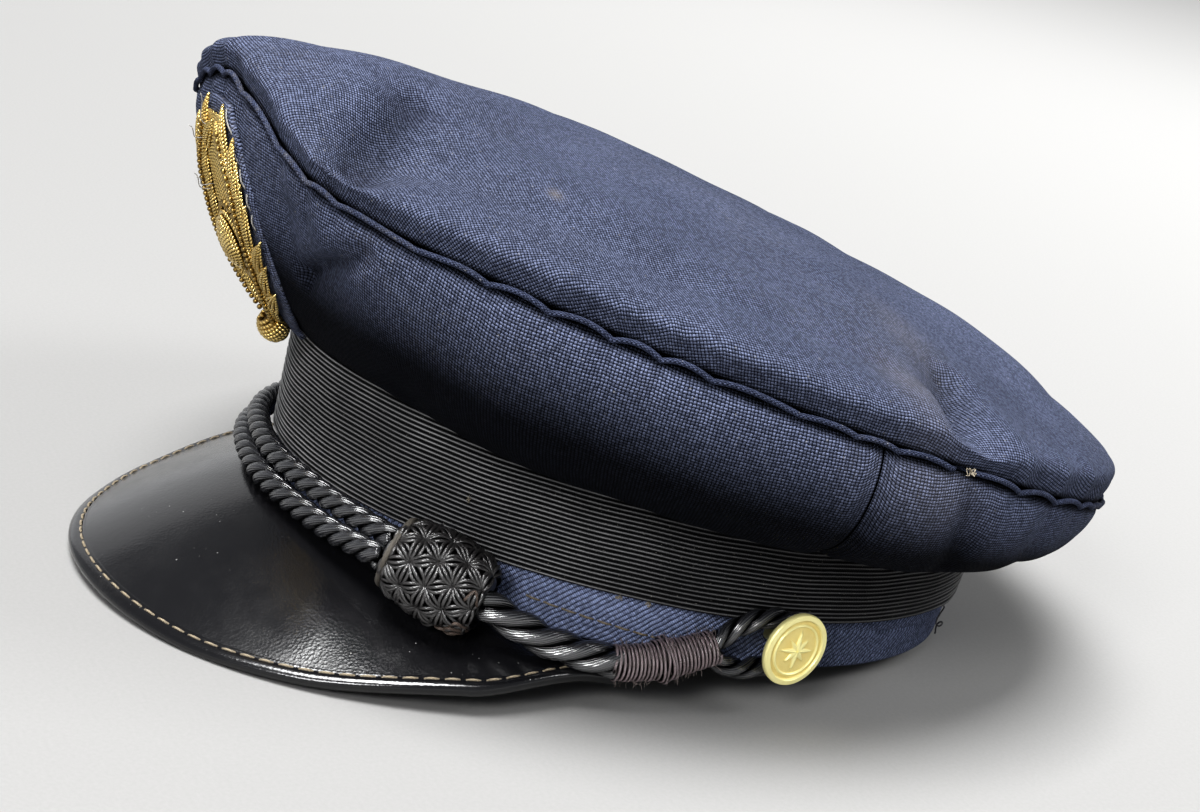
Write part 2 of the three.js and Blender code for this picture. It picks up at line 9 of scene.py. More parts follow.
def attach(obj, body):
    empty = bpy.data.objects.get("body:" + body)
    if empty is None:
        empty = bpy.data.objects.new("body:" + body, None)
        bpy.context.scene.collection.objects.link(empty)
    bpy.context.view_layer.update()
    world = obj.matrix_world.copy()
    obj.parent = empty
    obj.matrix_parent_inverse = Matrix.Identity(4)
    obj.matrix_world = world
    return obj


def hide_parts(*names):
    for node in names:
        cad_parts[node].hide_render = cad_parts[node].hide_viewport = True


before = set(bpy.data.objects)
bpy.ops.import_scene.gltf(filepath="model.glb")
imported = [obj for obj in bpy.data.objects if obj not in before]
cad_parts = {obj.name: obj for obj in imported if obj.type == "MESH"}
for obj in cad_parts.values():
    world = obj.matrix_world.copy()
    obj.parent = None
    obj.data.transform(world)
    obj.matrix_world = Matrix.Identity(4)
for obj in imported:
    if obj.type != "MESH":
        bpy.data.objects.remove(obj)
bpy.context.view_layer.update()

# Base band: the stiffened ring of navy twill that carries the rest of the cap. Its cloth is turned in
# at the rim, and the cap leans back on the rear of that rim. Shapes are drawn in millimetres with the
# rim level, and "turn" is the angle round the head in degrees: 0 front, 90 wearer's left, 180 rear.
REST_TILT = math.radians(-5.7834)
REST_SHIFT = (0.0, 12.545, 9.658)
MM_PER_METRE = 1000
BAND_HALF_WIDTH = 84.4
BAND_HALF_LENGTH = 102.3
BAND_MEAN_RADIUS = 95.0
BAND_FLARE = 0.045
BAND_HEIGHT = 45.0
BAND_WALL = 2.4
BAND_COLUMNS = 480
# distance out from the cloth, height: down the inside and round the turned rim
BAND_INSIDE = [(-BAND_WALL, 45), (-BAND_WALL, 30), (-BAND_WALL, 15), (-BAND_WALL, 5)]
BAND_RIM = [(-2.3, 1.6), (-1.9, 0.5), (-1.2, 0.05), (-0.5, 0.1), (-0.1, 0.6)]
RIM_SEAM = {"height": 3.4, "width": 0.45, "depth": 0.22}
STRIP_FOLD = {"turn": 99.5, "span": 29.5, "height": 11.5, "drop": 3.2, "width": 0.5, "depth": 0.55}
BAND_PAINTED_SHADE = {"from_rear": 100, "ramp": 30, "most": 0.6}
TWILL_ALONG = 0.75
TWILL_ACROSS = 0.3
BAND_THREAD = 0.52
# Band navy set far paler than the crown's: painted light on the strip under the crown's overhang.
BAND_NAVY_LIT = (0.31, 0.365, 0.57, 1)
BAND_NAVY_DEEP = (0.004, 0.005, 0.014, 1)
DUST_GREY = (0.22, 0.205, 0.185, 1)
RUBBED_GREY = (0.17, 0.155, 0.15, 1)
LINT_PALE = (0.3, 0.29, 0.27, 1)
CLOTH_MAP = "cloth_mm"


def set_down(points):
    """Points of the level cap in millimetres, as they lie in metres once the cap is set down."""
    x, y, z = np.moveaxis(np.asarray(points, float), -1, 0)
    turned_y = y * math.cos(REST_TILT) - z * math.sin(REST_TILT)
    turned_z = y * math.sin(REST_TILT) + z * math.cos(REST_TILT)
    high = np.maximum(turned_z + REST_SHIFT[2], 0)
    return np.stack([x + REST_SHIFT[0], turned_y + REST_SHIFT[1], high], -1) / MM_PER_METRE


def points_of(x, y, z):
    """One array of points from three arrays of coordinates."""
    return np.stack(np.broadcast_arrays(x, y, z), -1).astype(float)


def band_point(turn, out, height):
    """Point of the band: out is measured from its cloth, height from its rim."""
    angle = np.radians(turn)
    grown = out + BAND_FLARE * np.maximum(height, 0)
    x = (BAND_HALF_WIDTH + grown) * np.sin(angle)
    y = -(BAND_HALF_LENGTH + grown) * np.cos(angle)
    return points_of(x, y, height)


def ring_turns(count):
    """Evenly spaced turns once round the head."""
    return np.linspace(0, 360, count, endpoint=False)


def bell(distance, width):
    """1 in the middle of a soft mark, falling off to 0 beyond its width."""
    return np.exp(-(distance / width) ** 2)


def arch(share):
    """0 at both ends of a share and 1 in its middle."""
    return np.sin(math.pi * share)


def lengths_along(points):
    """Length from the first of a row of points to each of them."""
    steps = np.linalg.norm(np.diff(points, axis=0), axis=-1)
    return np.concatenate([np.zeros_like(steps[:1]), np.cumsum(steps, axis=0)])


def map_of(across, up):
    """Cloth places of a grid, from the measures of its columns and of its rows."""
    return np.stack(np.broadcast_arrays(np.asarray(across)[None, :], np.asarray(up)[:, None]), -1)


def round_map(turns, heights):
    """Cloth millimetres round the head and up, for a ring of turns and rows of heights."""
    closed = np.append(turns, turns[0] + 360)
    return map_of(np.radians(closed) * BAND_MEAN_RADIUS, heights)


def sheet(grid, cloth, ring=False, capped=False):
    """Corners, faces and cloth places of a grid of points; a ring joins its last column to its first."""
    rows, columns = grid.shape[:2]
    row, column = np.mgrid[0:rows - 1, 0:columns if ring else columns - 1].reshape(2, -1)
    following = (column + 1) % columns
    here = row * columns
    there = here + columns
    faces = np.stack([here + column, here + following, there + following, there + column], 1).tolist()
    lower = [cloth[row, column], cloth[row, column + 1]]
    upper = [cloth[row + 1, column + 1], cloth[row + 1, column]]
    places = np.stack(lower + upper, 1).reshape(-1, 2)
    if capped:
        faces.append(list(range(columns))[::-1])
        faces.append(list(range((rows - 1) * columns, rows * columns)))
        places = np.concatenate([places, cloth[0, :columns][::-1], cloth[-1, :columns]])
    return grid.reshape(-1, 3), faces, places


def make_piece(name, sheets, material, node=None, marks=None):
    """Smooth mesh object from sheets in cap millimetres, on the cap's one body and in a material slot.
    It stands for a solid where a node is named; marks are named values, one for each corner."""
    corners = []
    faces = []
    places = []
    start = 0
    for points, polygons, cloth in sheets:
        corners.append(points)
        faces.extend([[start + corner for corner in polygon] for polygon in polygons])
        places.append(cloth)
        start += len(points)
    mesh = bpy.data.meshes.new(name)
    mesh.from_pydata(set_down(np.concatenate(corners)).tolist(), [], faces)
    layer = mesh.uv_layers.new(name=CLOTH_MAP)
    layer.uv.foreach_set("vector", np.concatenate(places).astype(np.float32).ravel())
    for label, values in (marks or {}).items():
        attribute = mesh.attributes.new(label, "FLOAT", "POINT")
        attribute.data.foreach_set("value", np.asarray(values, np.float32).ravel())
    shaped = bmesh.new()
    shaped.from_mesh(mesh)
    bmesh.ops.recalc_face_normals(shaped, faces=shaped.faces)
    shaped.to_mesh(mesh)
    shaped.free()
    mesh.shade_smooth()
    mesh.materials.append(material)
    piece = bpy.data.objects.new(name, mesh)
    bpy.context.scene.collection.objects.link(piece)
    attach(piece, "root")
    if node:
        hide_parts(node)
    return piece


def set_inputs(tree, node, inputs):
    """Links each input of a node that is given a socket, and sets each of the others."""
    for label, value in inputs.items():
        if isinstance(value, bpy.types.NodeSocket):
            tree.links.new(value, node.inputs[label])
        else:
            node.inputs[label].default_value = value


def add_node(tree, kind, inputs=None, **settings):
    """New node of a shader tree, with its settings and its inputs."""
    made = tree.nodes.new(kind)
    for label, value in settings.items():
        setattr(made, label, value)
    set_inputs(tree, made, inputs or {})
    return made


def maths(tree, operation, *values):
    """Result of one Math node."""
    return add_node(tree, "ShaderNodeMath", dict(enumerate(values)), operation=operation).outputs[0]


def mixed(tree, share, first, second):
    """Colour between two colours."""
    return add_node(tree, "ShaderNodeMix", {0: share, 6: first, 7: second}, data_type="RGBA").outputs[2]


def scaled(tree, vector, factor):
    """Vector or colour times a number."""
    inputs = {0: vector, "Scale": factor}
    return add_node(tree, "ShaderNodeVectorMath", inputs, operation="SCALE").outputs[0]


def ranged(tree, value, low, high, to_low=0.0, to_high=1.0):
    """Value moved smoothly from one range to another and held at its ends."""
    inputs = {"Value": value, "From Min": low, "From Max": high, "To Min": to_low, "To Max": to_high}
    return add_node(tree, "ShaderNodeMapRange", inputs, interpolation_type="SMOOTHSTEP").outputs[0]


def noise(tree, vector, scale, detail=2.0, roughness=0.5):
    """Value of a noise texture."""
    inputs = {"Vector": vector, "Scale": scale, "Detail": detail, "Roughness": roughness}
    return add_node(tree, "ShaderNodeTexNoise", inputs).outputs[0]


def surface_mark(tree, label):
    """Value of one of the mesh's named marks."""
    return add_node(tree, "ShaderNodeAttribute", attribute_name=label).outputs["Fac"]


def raised(tree, height, strength, distance, **normal):
    """Normal of a surface that is raised by a height, over another normal if one is given."""
    inputs = {"Strength": strength, "Distance": distance, "Height": height, **normal}
    return add_node(tree, "ShaderNodeBump", inputs).outputs[0]


def new_group(name, inputs, outputs):
    """Shader node group with named sockets: its tree, the sockets given to it and its output node."""
    tree = bpy.data.node_groups.new(name, "ShaderNodeTree")
    for label, kind, value in inputs:
        socket = tree.interface.new_socket(name=label, in_out="INPUT", socket_type="NodeSocket" + kind)
        if value is not None:
            socket.default_value = value
    for label in outputs:
        tree.interface.new_socket(name=label, in_out="OUTPUT", socket_type="NodeSocketFloat")
    return tree, tree.nodes.new("NodeGroupInput").outputs, tree.nodes.new("NodeGroupOutput")


def plain_weave_group():
    """Threads that pass over and under each other: their height, the gaps between them and their tone."""
    inputs = [("Cloth", "Vector", None), ("Thread", "Float", 1.0), ("Wander", "Float", 0.9)]
    tree, given, result = new_group("plain_weave", inputs, ["Height", "Gap", "Tone"])
    counted = scaled(tree, given["Cloth"], maths(tree, "DIVIDE", 1.0, given["Thread"]))
    slow_noise = {"Vector": counted, "Scale": 0.13, "Detail": 4.0}
    bend = add_node(tree, "ShaderNodeTexNoise", slow_noise).outputs[1]
    shifted = {0: counted, 1: scaled(tree, bend, given["Wander"])}
    threads = add_node(tree, "ShaderNodeVectorMath", shifted, operation="ADD").outputs[0]
    split = add_node(tree, "ShaderNodeSeparateXYZ", {0: threads}).outputs
    humps = []
    counts = []
    for axis in (0, 1):
        wave = maths(tree, "SINE", maths(tree, "MULTIPLY", split[axis], math.pi))
        humps.append(maths(tree, "ABSOLUTE", wave))
        counts.append(maths(tree, "FLOOR", split[axis]))
    upper = maths(tree, "PINGPONG", maths(tree, "ADD", counts[0], counts[1]), 1.0)
    over = []
    for this, other in ((0, 1), (1, 0)):
        crest = maths(tree, "MULTIPLY_ADD", humps[other], 0.6, 0.4)
        over.append(maths(tree, "MULTIPLY", humps[this], crest))
    height = add_node(tree, "ShaderNodeMix", {0: upper, 2: over[0], 3: over[1]}).outputs[0]
    crossing = add_node(tree, "ShaderNodeCombineXYZ", {0: counts[0], 1: counts[1]}).outputs[0]
    tone = add_node(tree, "ShaderNodeTexWhiteNoise", {"Vector": crossing}, noise_dimensions="2D").outputs[0]
    gap = ranged(tree, height, 0.12, 0.68, 1.0, 0.0)
    set_inputs(tree, result, {"Height": height, "Gap": gap, "Tone": tone})
    return tree


def settled_dust_group():
    """Dust that lies in soft patches, and single specks of lint."""
    inputs = [("Place", "Vector", None), ("Patch", "Float", 30.0), ("Speck", "Float", 700.0),
              ("Rarity", "Float", 0.66)]
    tree, given, result = new_group("settled_dust", inputs, ["Dust", "Specks"])
    place = given["Place"]
    patches = ranged(tree, noise(tree, place, given["Patch"], 3.0, 0.6), 0.42, 0.72)
    grains = ranged(tree, noise(tree, place, given["Speck"], 2.0, 0.7), 0.35, 0.75)
    cells = add_node(tree, "ShaderNodeTexVoronoi", {"Vector": place, "Scale": given["Speck"]})
    near = ranged(tree, cells.outputs["Distance"], 0.1, 0.22, 1.0, 0.0)
    chosen = maths(tree, "GREATER_THAN", noise(tree, place, given["Speck"], 0.0), given["Rarity"])
    dust = maths(tree, "MULTIPLY", patches, grains)
    set_inputs(tree, result, {"Dust": dust, "Specks": maths(tree, "MULTIPLY", near, chosen)})
    return tree


PLAIN_WEAVE = plain_weave_group()
SETTLED_DUST = settled_dust_group()


def new_material(name):
    """Empty material: its tree, its Principled shader and the sockets for place and cloth millimetres."""
    material = bpy.data.materials.new(name)
    material.use_nodes = True
    tree = material.node_tree
    shader = tree.nodes["Principled BSDF"]
    place = tree.nodes.new("ShaderNodeTexCoord").outputs["Object"]
    cloth = add_node(tree, "ShaderNodeUVMap", uv_map=CLOTH_MAP).outputs[0]
    return material, tree, shader, place, cloth


def group_outputs(tree, group, **inputs):
    """Outputs of a node group placed in a material with its own values."""
    return add_node(tree, "ShaderNodeGroup", inputs, node_tree=group).outputs


def navy_cloth(name, thread, lit, deep, dust, bump):
    """Matt navy cloth: thread is its weave in millimetres, dust how much pale dust lies on it, deep the
    painted shade between its threads; a mark of each piece paints more shade on it.
    """
    material, tree, shader, place, cloth = new_material(name)
    weave = group_outputs(tree, PLAIN_WEAVE, Cloth=cloth, Thread=thread)
    settled = group_outputs(tree, SETTLED_DUST, Place=place, Patch=22.0)
    faded = ranged(tree, noise(tree, place, 14.0, 4.0, 0.6), 0.3, 0.7, 0.82, 1.12)
    tone = maths(tree, "MULTIPLY", ranged(tree, weave["Tone"], 0.0, 1.0, 0.72, 1.3), faded)
    # Painted shade: the gaps between the threads take the deep colour.
    threads = mixed(tree, weave["Gap"], scaled(tree, lit[:3], tone), deep)
    dusted = mixed(tree, maths(tree, "MULTIPLY", settled["Dust"], dust), threads, DUST_GREY)
    worn = maths(tree, "MULTIPLY", surface_mark(tree, "worn"), 0.35)
    specks = maths(tree, "MULTIPLY", settled["Specks"], 0.4)
    linted = mixed(tree, specks, mixed(tree, worn, dusted, RUBBED_GREY), LINT_PALE)
    # Painted shade: the cloth darkens where its piece's mark says shade falls.
    shade_factor = ranged(tree, surface_mark(tree, "painted_shade"), 0.0, 1.0, 1.0, 0.07)
    fuzz = noise(tree, place, 2600.0, 2.0, 0.6)
    relief = maths(tree, "MULTIPLY_ADD", fuzz, 0.35, weave["Height"])
    set_inputs(tree, shader, {
        "Base Color": scaled(tree, linted, shade_factor),
        "Roughness": 0.88,
        "Specular IOR Level": 0.05,
        "Normal": raised(tree, relief, bump, 0.0005),
    })
    return material


band_turns = ring_turns(BAND_COLUMNS)
outside_heights = np.linspace(1.2, 16, 48)
rim_seam = RIM_SEAM["depth"] * bell(outside_heights - RIM_SEAM["height"], RIM_SEAM["width"])
band_outside = np.stack([-rim_seam, outside_heights], -1)
band_section = np.concatenate([BAND_INSIDE, BAND_RIM, band_outside, [(0, BAND_HEIGHT)]])
fold_along = np.clip((band_turns - STRIP_FOLD["turn"]) / STRIP_FOLD["span"], 0, 1)[None, :]
fold_height = STRIP_FOLD["height"] - STRIP_FOLD["drop"] * fold_along
fold_deep = STRIP_FOLD["depth"] * arch(fold_along) ** 0.3 * (band_section[:, :1] > -0.5)
band_fold = fold_deep * bell(band_section[:, 1:] - fold_height, STRIP_FOLD["width"])
band_grid = band_point(band_turns[None, :], band_section[:, :1] - band_fold, band_section[:, 1:])
band_round, band_up = np.moveaxis(round_map(band_turns, lengths_along(band_section)), -1, 0)
band_twill = np.stack([TWILL_ALONG * (band_round + band_up), TWILL_ACROSS * (band_round - band_up)], -1)
# Painted shade: the band darkens towards its rear.
from_rear = BAND_PAINTED_SHADE["from_rear"] - np.abs(band_turns - 180)
band_painted_shade = np.clip(from_rear / BAND_PAINTED_SHADE["ramp"], 0, BAND_PAINTED_SHADE["most"])
make_piece("base_band_cloth", [sheet(band_grid, band_twill, ring=True)],
           navy_cloth("band_cloth", BAND_THREAD, BAND_NAVY_LIT, BAND_NAVY_DEEP, dust=0.12, bump=0.8),
           "base_band", {"painted_shade": np.broadcast_to(band_painted_shade, band_grid.shape[:2])})


# Strip stitching: pale running stitches through the navy strip above each end of the peak, where the
# peak's lining is caught to the band.
STRIP_STITCH = {"first": 52.5, "last": 75, "pitch": 2.75, "length": 2.2, "radius": 0.27}
STRIP_LINE = {"turn": 57.75, "height": 6.5, "slope": 0.145}
STITCH_STEPS = 7
STITCH_BEIGE = (0.26, 0.215, 0.15, 1)
STITCH_BROWN = (0.12, 0.09, 0.05, 1)


def unit(vectors):
    """Vectors of the same directions, one long."""
    return vectors / np.linalg.norm(vectors, axis=-1, keepdims=True)


def ring_angles(count):
    """Evenly spaced angles once round a section."""
    return np.linspace(0, 2 * math.pi, count, endpoint=False)


def path_frame(path, facing=(0, 0, 1)):
    """Directions at each point of a path: to its side, to where it faces, and ahead."""
    ahead = unit(np.gradient(path, axis=0))
    aside = unit(np.cross(ahead, facing))
    return aside, np.cross(aside, ahead), ahead


def around(aside, above, angles):
    """Directions round each point of a path, at angles from its side."""
    return aside[:, None] * np.cos(angles)[:, None] + above[:, None] * np.sin(angles)[:, None]


def tube(path, radius, sides=8, facing=(0, 0, 1), taper=1.0):
    """Closed round run along a path; taper scales its radius from end to end."""
    aside, above, _ = path_frame(path, facing)
    widths = np.broadcast_to(radius * np.asarray(taper), len(path))
    grid = path[:, None] + widths[:, None, None] * around(aside, above, ring_angles(sides))
    return sheet(grid, map_of(np.linspace(0, 1, sides + 1), lengths_along(path)), ring=True, capped=True)


def twisted_yarn_group():
    """Fine threads laid side by side round a yarn and twisted along it, and the side that it turns out."""
    inputs = [("Yarn", "Vector", None), ("Threads", "Float", 8.0), ("Twist", "Float", 0.3)]
    tree, given, result = new_group("twisted_yarn", inputs, ["Height", "Tone", "Outer"])
    split = add_node(tree, "ShaderNodeSeparateXYZ", {0: given["Yarn"]}).outputs
    round_count = maths(tree, "MULTIPLY", split[0], given["Threads"])
    count = maths(tree, "MULTIPLY_ADD", split[1], given["Twist"], round_count)
    wave = maths(tree, "SINE", maths(tree, "MULTIPLY", count, math.pi))
    seed = maths(tree, "FLOOR", count)
    tone = add_node(tree, "ShaderNodeTexWhiteNoise", {"W": seed}, noise_dimensions="1D").outputs[0]
    outward = maths(tree, "SINE", maths(tree, "MULTIPLY", split[0], 2 * math.pi))
    outer = ranged(tree, outward, -0.1, 0.85)
    set_inputs(tree, result, {"Height": maths(tree, "ABSOLUTE", wave), "Tone": tone, "Outer": outer})
    return tree


TWISTED_YARN = twisted_yarn_group()


def yarn_material(name, colour, deep, threads, twist, roughness, dust=0.2, bump=0.6, distance=0.0003,
                  gleam=0.5, groove=0.0):
    """Twisted thread: colour on its crests and deep, as painted shade, between its threads; gleam is how
    silky it shines, and groove how strong the painted shade is, black and with no shine, where it lies
    against its neighbours."""
    material, tree, shader, place, cloth = new_material(name)
    yarn = group_outputs(tree, TWISTED_YARN, Yarn=cloth, Threads=threads, Twist=twist)
    settled = group_outputs(tree, SETTLED_DUST, Place=place, Patch=90.0, Speck=1500.0)
    # Painted shade: the deep colour fills the hollows between the threads.
    crest = ranged(tree, yarn["Height"], 0.1, 0.7)
    tone = ranged(tree, yarn["Tone"], 0.0, 1.0, 0.75, 1.2)
    # Painted shade where the yarn lies against its neighbours: darkened, with its shine taken away.
    if groove > 0:
        groove_shade = maths(tree, "MULTIPLY_ADD", yarn["Outer"], -groove, groove)
        tone = maths(tree, "MULTIPLY", tone, maths(tree, "SUBTRACT", 1.0, groove_shade))
        set_inputs(tree, shader, {"Metallic": groove_shade})
    spun = mixed(tree, crest, deep, scaled(tree, colour[:3], tone))
    dusty = maths(tree, "MULTIPLY", settled["Dust"], dust)
    set_inputs(tree, shader, {
        "Base Color": mixed(tree, dusty, spun, DUST_GREY),
        "Roughness": maths(tree, "MULTIPLY_ADD", dusty, 0.4, roughness),
        "Specular IOR Level": gleam,
        "IOR": 1.6,
        "Normal": raised(tree, yarn["Height"], bump, distance),
    })
    return material


STITCH_THREAD = yarn_material("stitch_thread", STITCH_BEIGE, STITCH_BROWN, threads=4.0, twist=1.2,
                              roughness=0.7)

stitch_share = np.linspace(0, 1, STITCH_STEPS)
strip_stitches = []
for side in (1, -1):
    for turn in np.arange(STRIP_STITCH["first"], STRIP_STITCH["last"], STRIP_STITCH["pitch"]):
        turns = turn + STRIP_STITCH["length"] * stitch_share
        heights = STRIP_LINE["height"] - (turns - STRIP_LINE["turn"]) * STRIP_LINE["slope"]
        stitch = band_point(side * turns, 0.45 * arch(stitch_share) - 0.14, heights)
        strip_stitches.append(tube(stitch, STRIP_STITCH["radius"], 6))
make_piece("strip_stitching", strip_stitches, STITCH_THREAD)


# Braid: black ribbed mohair braid, wrapped once round the band and joined at the rear. Its ribs lie in
# thirteen pairs, each with one rib slightly lower, and its lower edge has lifted a little at the sides.
BRAID_LOW = 14.0
BRAID_HIGH = 44.7
BRAID_PAIRS = 13
BRAID_COLUMNS = 400
BRAID_ROWS_PER_PAIR = 16
BRAID_BACK = 0.3
BRAID_WEB = 0.8
BRAID_RIB_DEPTH = 0.95
LOWER_RIB = 0.85
RIB_HIGHLIGHT = 0.62
RIB_HIGHLIGHT_WIDTH = 0.12
BRAID_LIT = (0.3, 0.3, 0.305, 1)
BRAID_DEEP = (0.002, 0.002, 0.0025, 1)
BRAID_LINT = (0.5, 0.47, 0.42, 1)
# turn, strength of the painted highlight on the ribs, fading as painted shade away from the front
BRAID_HIGHLIGHT = [(0, 1), (55, 0.9), (80, 0.4), (110, 0.3), (180, 0.45)]
# turn, reach to each side, how far the lower edge stands off
BRAID_LIFTS = [(80, 9, 1.1), (-84, 10, 0.9), (132, 6, 0.5), (180, 3, 0.4)]
# strength, waves round the head, angle of the first one
BRAID_SWAY = [(0.22, 7, math.radians(20)), (0.12, 23, 0)]


def rib_relief(share):
    """Height of the ribs over one rib and the slightly lower one beside it."""
    first = np.sqrt(np.maximum(0, 1 - ((share - 0.25) / 0.25) ** 2))
    second = LOWER_RIB * np.sqrt(np.maximum(0, 1 - ((share - 0.75) / 0.25) ** 2))
    return np.maximum(first, second)


def smooth_table(rows, at):
    """Smooth value of a table of keys and values, with no overshoot between its rows."""
    keys, values = np.array(rows, float).T
    at = np.clip(at, keys[0], keys[-1])
    slopes = np.diff(values) / np.diff(keys)
    before = slopes[:-1]
    after = slopes[1:]
    together = np.where(before + after == 0, 1, before + after)
    tangents = np.zeros(len(keys))
    tangents[1:-1] = np.where(before * after > 0, 2 * before * after / together, 0)
    row = np.clip(np.searchsorted(keys, at) - 1, 0, len(keys) - 2)
    span = keys[row + 1] - keys[row]
    share = (at - keys[row]) / span
    start = values[row] * (1 + 2 * share) + span * tangents[row] * share
    end = values[row + 1] * (3 - 2 * share) + span * tangents[row + 1] * (share - 1)
    return start * (1 - share) ** 2 + end * share ** 2


def turn_apart(turn, other):
    """Turn from one place round the head to another, between -180 and 180 degrees."""
    return (turn - other + 180) % 360 - 180


def from_front(turn):
    """Turn away from the front, to either side."""
    return np.abs(turn_apart(turn, 0))


def waves(rows, angle):
    """Sum of the waves of a table."""
    return sum(strength * np.sin(count * angle + start) for strength, count, start in rows)


def braid_lift(turn, share):
    """How far the braid's lower edge stands off beside the buttons and at its rear join."""
    lift = sum(depth * bell(turn_apart(turn, place), reach) for place, reach, depth in BRAID_LIFTS)
    return lift * np.maximum(0, 1 - share / 0.3) ** 2


def braid_material():
    """Dull silky braid, finely corded across its ribs, with a painted highlight along the upper side of
    each rib and lint caught on it.
    """
    material, tree, shader, place, cloth = new_material("braid")
    cloth_round = add_node(tree, "ShaderNodeSeparateXYZ", {0: cloth}).outputs[0]
    wobble = noise(tree, place, 300.0, 1.0)
    across = maths(tree, "MULTIPLY_ADD", wobble, 1.2, maths(tree, "MULTIPLY", cloth_round, 5.6))
    cords = maths(tree, "ABSOLUTE", maths(tree, "SINE", across))
    # Painted highlight: the crest mark brightens the upper side of each rib, less so away from the front.
    crest = surface_mark(tree, "crest")
    settled = group_outputs(tree, SETTLED_DUST, Place=place, Patch=35.0, Speck=1100.0)
    faded = ranged(tree, noise(tree, place, 40.0, 4.0, 0.6), 0.3, 0.7, 0.7, 1.25)
    ribs = mixed(tree, crest, BRAID_DEEP, scaled(tree, BRAID_LIT[:3], faded))
    dusty = maths(tree, "MULTIPLY", maths(tree, "MULTIPLY", settled["Dust"], crest), 0.25)
    specks = maths(tree, "MULTIPLY", settled["Specks"], 0.35)
    set_inputs(tree, shader, {
        "Base Color": mixed(tree, specks, mixed(tree, dusty, ribs, DUST_GREY), BRAID_LINT),
        "Roughness": 0.5,
        "Specular IOR Level": 0.12,
        "Normal": raised(tree, cords, 0.5, 0.0002),
    })
    return material


braid_turns = ring_turns(BRAID_COLUMNS)
braid_shares = np.linspace(0, 1, BRAID_PAIRS * BRAID_ROWS_PER_PAIR + 1)
braid_heights = BRAID_LOW + (BRAID_HIGH - BRAID_LOW) * braid_shares
braid_up = braid_heights[:, None] + waves(BRAID_SWAY, np.radians(braid_turns)) * arch(braid_shares)[:, None]
braid_ribs = rib_relief((braid_shares * BRAID_PAIRS) % 1)
braid_out = BRAID_BACK + BRAID_WEB + BRAID_RIB_DEPTH * braid_ribs[:, None]
braid_out = braid_out + braid_lift(braid_turns[None, :], braid_shares[:, None])
braid_front = band_point(braid_turns[None, :], braid_out, braid_up)
braid_low_edge = band_point(braid_turns, BRAID_BACK + braid_lift(braid_turns, 0.0), BRAID_LOW)
braid_high_edge = band_point(braid_turns, BRAID_BACK, BRAID_HIGH)
braid_grid = np.concatenate([braid_low_edge[None], braid_front, braid_high_edge[None]])
braid_map = round_map(braid_turns, np.concatenate([[BRAID_LOW], braid_heights, [BRAID_HIGH]]))
# Painted highlight on the upper side of each rib, fading towards the rear as painted shade.
rib_highlights = bell((braid_shares * BRAID_PAIRS * 2) % 1 - RIB_HIGHLIGHT, RIB_HIGHLIGHT_WIDTH)
braid_highlight_strength = smooth_table(BRAID_HIGHLIGHT, from_front(braid_turns))
braid_painted_highlight = np.concatenate([[0], rib_highlights, [0]])[:, None] * braid_highlight_strength
make_piece("ribbed_braid", [sheet(braid_grid, braid_map, ring=True)], braid_material(),
           "braid_band", {"crest": braid_painted_highlight})


# Lint and a loose thread: pale fibres caught on the braid and at its lower edge, and one black thread
# that has come undone at the edge, towards the rear.
LINT_SEED = 19
LINT_FIBRES = 6
FIBRE_RADIUS = 0.14
# turn, height of each tuft
LINT_PLACES = [(65.5, BRAID_LOW), (69.5, BRAID_LOW - 0.3), (-60, BRAID_LOW), (41, 27)]
LOOSE_RADIUS = 0.24
FRAYED_BEIGE = (0.3, 0.26, 0.2, 1)
FRAYED_BROWN = (0.2, 0.17, 0.12, 1)
LOOSE_BLACK = (0.03, 0.03, 0.036, 1)
FRAYED_THREAD = yarn_material("frayed_thread", FRAYED_BEIGE, FRAYED_BROWN, threads=3.0, twist=1.0,
                              roughness=0.8)
LOOSE_THREAD = yarn_material("loose_thread", LOOSE_BLACK, BRAID_DEEP, threads=3.0, twist=1.4, roughness=0.6)


def tuft(place, lean, spread, count, random):
    """Short loose fibres standing off a place in about the direction of a lean."""
    share = np.linspace(0, 1, 6)[:, None]
    fibres = []
    for _ in range(count):
        reach = np.asarray(lean) + random.normal(0, 1, 3) * spread
        curl = random.normal(0, 0.6, 3) * (share * (1 - share) * 4)
        fibres.append(tube(place + reach * share + curl, FIBRE_RADIUS, 5, facing=(0.3, 0.2, 1)))
    return fibres


lint_random = np.random.default_rng(LINT_SEED)
lint = []
for turn, height in LINT_PLACES:
    lint_place = band_point(turn, 2.0, height)
    lint += tuft(lint_place, (0.2, -0.1, -0.1), (0.5, 0.5, 0.35), LINT_FIBRES, lint_random)
make_piece("braid_lint", lint, FRAYED_THREAD)

loose_share = np.linspace(0, 1, 60)
loose_turns = 128 + 6.5 * loose_share + 1.6 * np.sin(9 * loose_share)
loose_out = 0.8 + 2.4 * arch(loose_share) + 0.8 * np.sin(14 * loose_share)
loose_heights = BRAID_LOW - 10 * loose_share + 1.4 * np.sin(12 * loose_share)
loose_path = band_point(loose_turns, loose_out, loose_heights)
loose_tube = tube(loose_path, LOOSE_RADIUS, 6, facing=(0.77, 0.64, 0))
make_piece("loose_thread", [loose_tube], LOOSE_THREAD)


